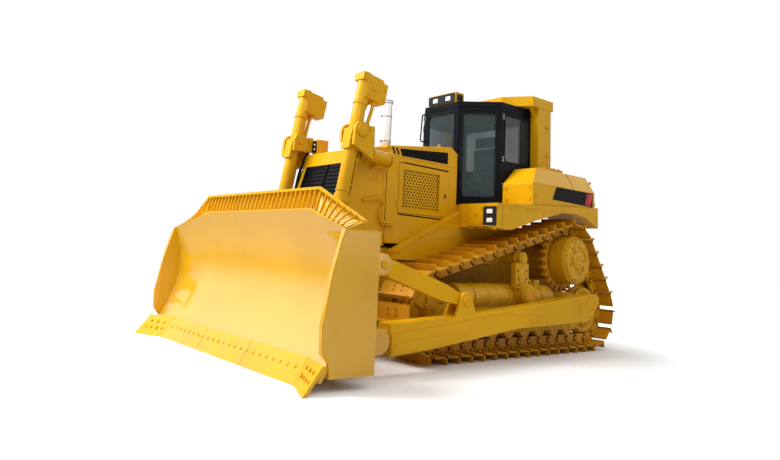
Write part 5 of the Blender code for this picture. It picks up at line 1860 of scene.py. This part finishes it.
def piping(name, low, high, thin, body_name):
    """A sewn cord round a pad's seam."""
    middle, half = (low + high) / 2, (high - low) / 2
    flat = [axis for axis in range(3) if axis != thin]
    points = []
    for u, v in rectangle(-0.955, -0.955, 0.955, 0.955, 0.10, 5):
        spot = middle.copy()
        spot[flat[0]] += u * half[flat[0]]
        spot[flat[1]] += v * half[flat[1]]
        points.append(spot)
    shape = Shape()
    for first, second in zip(points, points[1:] + points[:1]):
        if (second - first).length > 1e-5:
            shape.drum(first, second, 0.0055, 8)
    shape.piece(name, "rubber", body_name)


class BULLDOZER_OT_interior(Operator):
    """Upholsters the seat and fits its armrests, levers and the instrument console"""

    bl_idname = "bulldozer.interior"
    bl_label = "Interior"

    def execute(self, context):
        for node, dents, across, thin, fill in (
            ("seat_cushion", (-0.45, 0.45), 0, 2, 0.8), ("seat_back", (-0.50, 0.0, 0.50), 2, 1, 0.75),
        ):
            low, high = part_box(node)
            mesh = cushion(f"{node}_pad", low, high, dents, across)
            piece = hand_over(f"{node}_pad", mesh, "fabric", body_of(node), None, 0.0, (node,))
            piping(f"{node}_piping", low, high, thin, body_of(node))
        shape = Shape()
        for side, _ in SIDES:
            shape.box((side * 0.275, 1.16, 2.74), (side * 0.345, 1.50, 2.79))
            shape.tube([(side * 0.300, 1.42, 2.745), (side * 0.300, 1.47, 2.60), (side * 0.225, 1.49, 2.44)],
                       0.014, 8)
            shape.box((side * 0.40, 1.02, 2.18), (side * 0.58, 1.52, 2.66))
            lever = [(side * 0.47, 1.10, 2.65), (side * 0.47, 1.07, 2.80), (side * 0.44, 1.06, 2.87)]
            shape.tube(lever, 0.010, 8, 0.03)
            shape.turned(((0.0, -0.022), (0.018, -0.018), (0.026, 0.0), (0.018, 0.020), (0.0, 0.024)),
                         (side * 0.44, 1.06, 2.885), UP, 18)
        shape.box((-0.20, 1.545, 3.235), (0.20, 1.625, 3.40))
        shape.drum((-0.07, 1.585, 3.20), (-0.07, 1.585, 3.26), 0.008, 8)
        shape.drum((0.07, 1.585, 3.20), (0.07, 1.585, 3.26), 0.008, 8)
        shape.piece("seat_fittings", "plastic", bevel=0.010)
        self.console()
        return {"FINISHED"}

    def console(self):
        """A dial binnacle, three gauges and pedals."""
        tilt = Euler((math.radians(-52), 0, 0))
        shape = Shape()
        shape.box((-0.20, 0.70, 2.805), (0.20, 0.80, 2.835), tilt)
        for x in (-0.14, 0.14):
            shape.box((x - 0.045, 0.86, 2.215), (x + 0.045, 0.875, 2.315), Euler((math.radians(30), 0, 0)))
        shape.piece("console_fittings", "plastic", bevel=0.004)
        dials = Shape()
        for x in (-0.12, 0.0, 0.12):
            dials.turned(((0.0, 0.0), (0.040, 0.0), (0.040, 0.006), (0.034, 0.008), (0.0, 0.004)),
                         (x, 0.778, 2.838), (0, 0.75, 0.66), 24)
        # The dials take the lens finish, so they glow with painted light.
        dials.piece("console_dials", "lens")


# Canopy, tank, fenders and back

TANK_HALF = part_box("fuel_tank")[1].x
TANK_CREASE = 2.49
DECK_TOP = 2.10
HITCH_Y = 3.30


class BULLDOZER_OT_body(Operator):
    """Fits the canopy's, tank's, platform's and fenders' seams, bolts, plates and lamps"""

    bl_idname = "bulldozer.body"
    bl_label = "Body"

    def execute(self, context):
        for side, label in SIDES:
            self.canopy(side, label)
            self.plate(side, label)
            self.fender(side, label)
            self.apron(side, label)
        self.tank()
        self.hitch()
        return {"FINISHED"}

    def canopy(self, side, label):
        """Foot bolts, grab loops and a gusset on a canopy post, and a lamp under the back edge."""
        spots = [(Vector((side * x, y, 2.812)), UP) for x in (1.075, 1.155) for y in (1.63, 1.76, 1.88, 2.01)]
        bolts(f"canopy_bolts_{label}", spots, settings("fasteners").medium)
        face = side * 1.03
        shape = Shape()
        for z in (3.50, 3.03):
            loop = [(face - side * 0.004, 1.835, z), (face + side * 0.040, 1.835, z),
                    (face + side * 0.040, 1.905, z),
                    (face - side * 0.004, 1.905, z)]
            shape.tube(loop, 0.010, 8, 0.015)
        gusset = [(1.641, 3.64), (1.641, 3.802), (1.52, 3.802)]
        shape.plate(gusset, side * 0.93, side * 0.945)
        lamp = Vector((side * 0.73, 2.040, 3.88))
        shape.box(lamp - Vector((0.11, 0.009, 0.06)), lamp + Vector((0.11, 0, 0.06)))
        shape.piece(f"canopy_fittings_{label}", "paint", slot="yellow_paint", bevel=0.002)
        shape = Shape()
        shape.turned(((0.0, 0.0), (0.050, 0.0), (0.055, 0.016), (0.055, 0.040), (0.045, 0.046), (0.0, 0.044)),
                     lamp, BACK, 28)
        shape.piece(f"canopy_lamp_{label}", "plastic")
        shape = Shape()
        lens = ((0.0, 0.0), (0.044, 0.0), (0.030, 0.007), (0.0, 0.009))
        shape.turned(lens, lamp + BACK * 0.0455, BACK, 28)
        shape.piece(f"canopy_lamp_lens_{label}", "lens")

    def plate(self, side, label):
        """The blank black plate with slanted ends and its red slash on the tank's side."""
        face = side * TANK_HALF
        ends = [(1.44, 2.275), (2.545, 2.255), (2.560, 2.478), (1.545, 2.478)]
        shape = Shape()
        shape.plate(rounded(ends, 0.012), face + side * 0.0004, face + side * 0.0030)
        shape.piece(f"tank_plate_{label}", "decal", slot="black_paint", bevel=0.0008)
        shape = Shape()
        for start, wide in ((2.335, 0.040), (2.392, 0.095)):
            slash = [(start, 2.272), (start + wide, 2.270), (start + wide + 0.062, 2.462),
                     (start + 0.062, 2.462)]
            shape.plate(slash, face + side * 0.0031, face + side * 0.0038)
        shape.piece(f"tank_slash_{label}", "slash")

    def tank(self):
        """The joint round the tank, its filler cap, cover bolts, tail lamps and back step."""
        section = [(-1.43, 2.24), (-1.43, TANK_CREASE), (-1.27, 2.75), (1.27, 2.75), (1.43, TANK_CREASE),
                   (1.43, 2.24)]
        wider = [(x * 1.0018, z + (0.0025 if z > 2.7 else 0.0)) for x, z in section]
        inner = [(x * 0.985, z - (0.02 if z > 2.7 else 0.0)) for x, z in section]
        band = wider + inner[::-1]
        shape = Shape()
        shape.plate(band, 2.027, 2.033, "xz")
        shape.piece("tank_joint", "hole")
        shape = Shape()
        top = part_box("fuel_tank")[1].z
        shape.turned(((0.0, -0.035), (0.078, -0.035), (0.082, -0.020), (0.078, 0.010), (0.030, 0.018),
                      (0.0, 0.018)),
                     (1.0, 2.20, top + 0.004), UP, 40)
        for x, y in arc((1.0, 2.20), 0.080, 0, 330, 11):
            shape.drum((x, y, top - 0.030), (x, y, top + 0.004), 0.008, 8)
        shape.piece("tank_cap", "paint", slot="yellow_paint")
        spots = []
        for side, _ in SIDES:
            spots += [(Vector((side * x, 0.9495, z)), AHEAD) for x in (0.95, 1.38) for z in (2.24, 2.42)]
            spots += [(Vector((side * 1.4305, y, 2.30)), Vector((side, 0, 0))) for y in (1.02, 2.59)]
            spots += [(Vector((side * x, 2.6205, z)), BACK) for x in (0.25, 1.34) for z in (2.34, 2.66)]
        bolts("tank_bolts", spots, settings("fasteners").medium)
        shape = Shape()
        for side, _ in SIDES:
            shape.box((side * 0.98, 2.620, 2.46), (side * 1.24, 2.655, 2.58))
        shape.box((-0.55, 2.620, 2.33), (0.55, 2.626, 2.66))
        shape.piece("tank_back_fittings", "paint", slot="yellow_paint", bevel=0.006)
        shape = Shape()
        for side, _ in SIDES:
            shape.plate(rectangle(side * 1.11 - 0.11, 2.475, side * 1.11 + 0.11, 2.565, 0.01), 2.6555, 2.661,
                        "xz")
        shape.piece("tail_lamps", "amber")

    def fender(self, side, label):
        """The lamp recess, cover and step at a fender's front, and the seam and bolts along its side."""
        front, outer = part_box(f"fender_{label}")[0].y, side * 1.45

        def upright(centre, half, low, high, radius=0.012):
            return rectangle(side * centre - half, low, side * centre + half, high, radius)

        shape = Shape()
        shape.plate(upright(1.3275, 0.1125, 1.79, 2.055), front - 0.0005, front - 0.010, "xz")
        shape.piece(f"fender_recess_{label}", "plastic", bevel=0.002)
        shape = Shape()
        for z in (1.862, 1.985):
            shape.plate(upright(1.3275, 0.050, z - 0.030, z + 0.030), front - 0.010, front - 0.020, "xz")
        shape.piece(f"fender_lamps_{label}", "lens", bevel=0.004)
        shape = Shape()
        hole = upright(1.08, 0.022, 1.90, 1.945, 0.0)
        shape.plate(upright(1.0775, 0.1275, 1.80, 2.056), front, front - 0.012, "xz", holes=[hole])
        shape.box((side * 1.00, -0.10, 1.765), (side * 1.449, front, 1.777))
        for x in (1.02, 1.43):
            shape.plate([(front, 1.766), (front, 1.725), (-0.06, 1.766)], side * x, side * (x + 0.010))
        shape.box((outer, front + 0.002, DECK_TOP - 0.018), (outer + side * 0.006, 1.48, DECK_TOP - 0.006))
        shape.piece(f"fender_front_{label}", "paint", slot="yellow_paint", bevel=0.003)
        shape = Shape()
        shape.box((outer - side * 0.004, 0.234, 1.76), (outer + side * 0.0009, 0.240, 2.105))
        shape.box((outer - side * 0.004, 1.667, 2.105), (outer + side * 0.0009, 1.673, 2.19))
        shape.piece(f"fender_seams_{label}", "hole")
        way = LEFT * side
        spots = [(Vector((side * x, front - 0.012, z)), AHEAD) for x in (0.975, 1.18) for z in (1.825, 2.03)]
        spots += [(Vector((outer, y, 2.045)), way) for y in (0.16, 0.42, 0.80, 1.20, 1.56)]
        spots += [(Vector((outer, 2.60, z)), way) for z in (2.02, 2.12)]
        bolts(f"fender_bolts_{label}", spots, settings("fasteners").small)

    def apron(self, side, label):
        """A folded flange along the slanted plate under the hood, and its bolts."""
        face, way = side * 0.76, LEFT * side
        edge = [(-1.14, 1.352), (0.375, 2.092), (0.375, 2.060), (-1.14, 1.318)]
        shape = Shape()
        shape.plate(edge, face, face + side * 0.006)
        shape.plate([(-1.149, 1.252), (-1.149, 1.36), (-1.115, 1.376), (-1.115, 1.252)], face,
                    face + side * 0.006)
        shape.piece(f"apron_flange_{label}", "paint", slot="yellow_paint", bevel=0.002)
        spots = [(Vector((face + side * 0.006, y, 1.335 + (y + 1.14) * 0.4885)), way) for y in (-1.05, -0.66,
                                                                                                -0.27)]
        spots += [(Vector((face, y, 2.03)), way) for y in (0.44, 0.62, 0.90)]
        spots += [(Vector((side * 0.70, 0.2, 2.1003)), UP)]
        bolts(f"apron_bolts_{label}", spots, settings("fasteners").small)

    def hitch(self):
        """The drawbar's pin with its collar and handle."""
        shape = Shape()
        shape.drum((0, HITCH_Y, 0.58), (0, HITCH_Y, 0.85), 0.036, 24)
        shape.turned(((0.0, 0.0), (0.052, 0.0), (0.046, 0.022), (0.0, 0.026)), (0, HITCH_Y, 0.8006), UP, 24)
        handle = [(-0.028, 0.845), (-0.028, 0.905), (0.028, 0.905), (0.028, 0.845)]
        shape.tube([(x, HITCH_Y, z) for x, z in handle], 0.008, 8, 0.02)
        shape.piece("hitch_pin", "steel")


# Registration

OPERATORS = (
    BULLDOZER_OT_finishes, BULLDOZER_OT_stage, BULLDOZER_OT_frame, BULLDOZER_OT_tracks,
    BULLDOZER_OT_undercarriage, BULLDOZER_OT_blade, BULLDOZER_OT_push_arms, BULLDOZER_OT_nose,
    BULLDOZER_OT_hood, BULLDOZER_OT_lift, BULLDOZER_OT_cab, BULLDOZER_OT_interior, BULLDOZER_OT_body,
)


class BULLDOZER_PT_looks(Panel):
    """Lists the settings and a button for each operator that builds pieces"""

    bl_idname = "BULLDOZER_PT_looks"
    bl_label = "Bulldozer"
    bl_space_type, bl_region_type, bl_category = "VIEW_3D", "UI", "Bulldozer"

    def draw(self, context):
        for name, group in SETTINGS.items():
            chosen = getattr(context.scene, name)
            for key in group.__annotations__:
                self.layout.prop(chosen, key)
        for operator in OPERATORS:
            self.layout.operator(operator.bl_idname)


CLASSES = (*SETTINGS.values(), *OPERATORS, BULLDOZER_PT_looks)


def register():
    for made in CLASSES:
        bpy.utils.register_class(made)
    for name, group in SETTINGS.items():
        setattr(bpy.types.Scene, name, PointerProperty(type=group))


def unregister():
    for name in SETTINGS:
        delattr(bpy.types.Scene, name)
    for made in reversed(CLASSES):
        bpy.utils.unregister_class(made)


def main():
    register()
    for operator in OPERATORS:
        category, name = operator.bl_idname.split(".")
        getattr(getattr(bpy.ops, category), name)()
    bpy.context.view_layer.update()


if __name__ == "__main__":
    main()
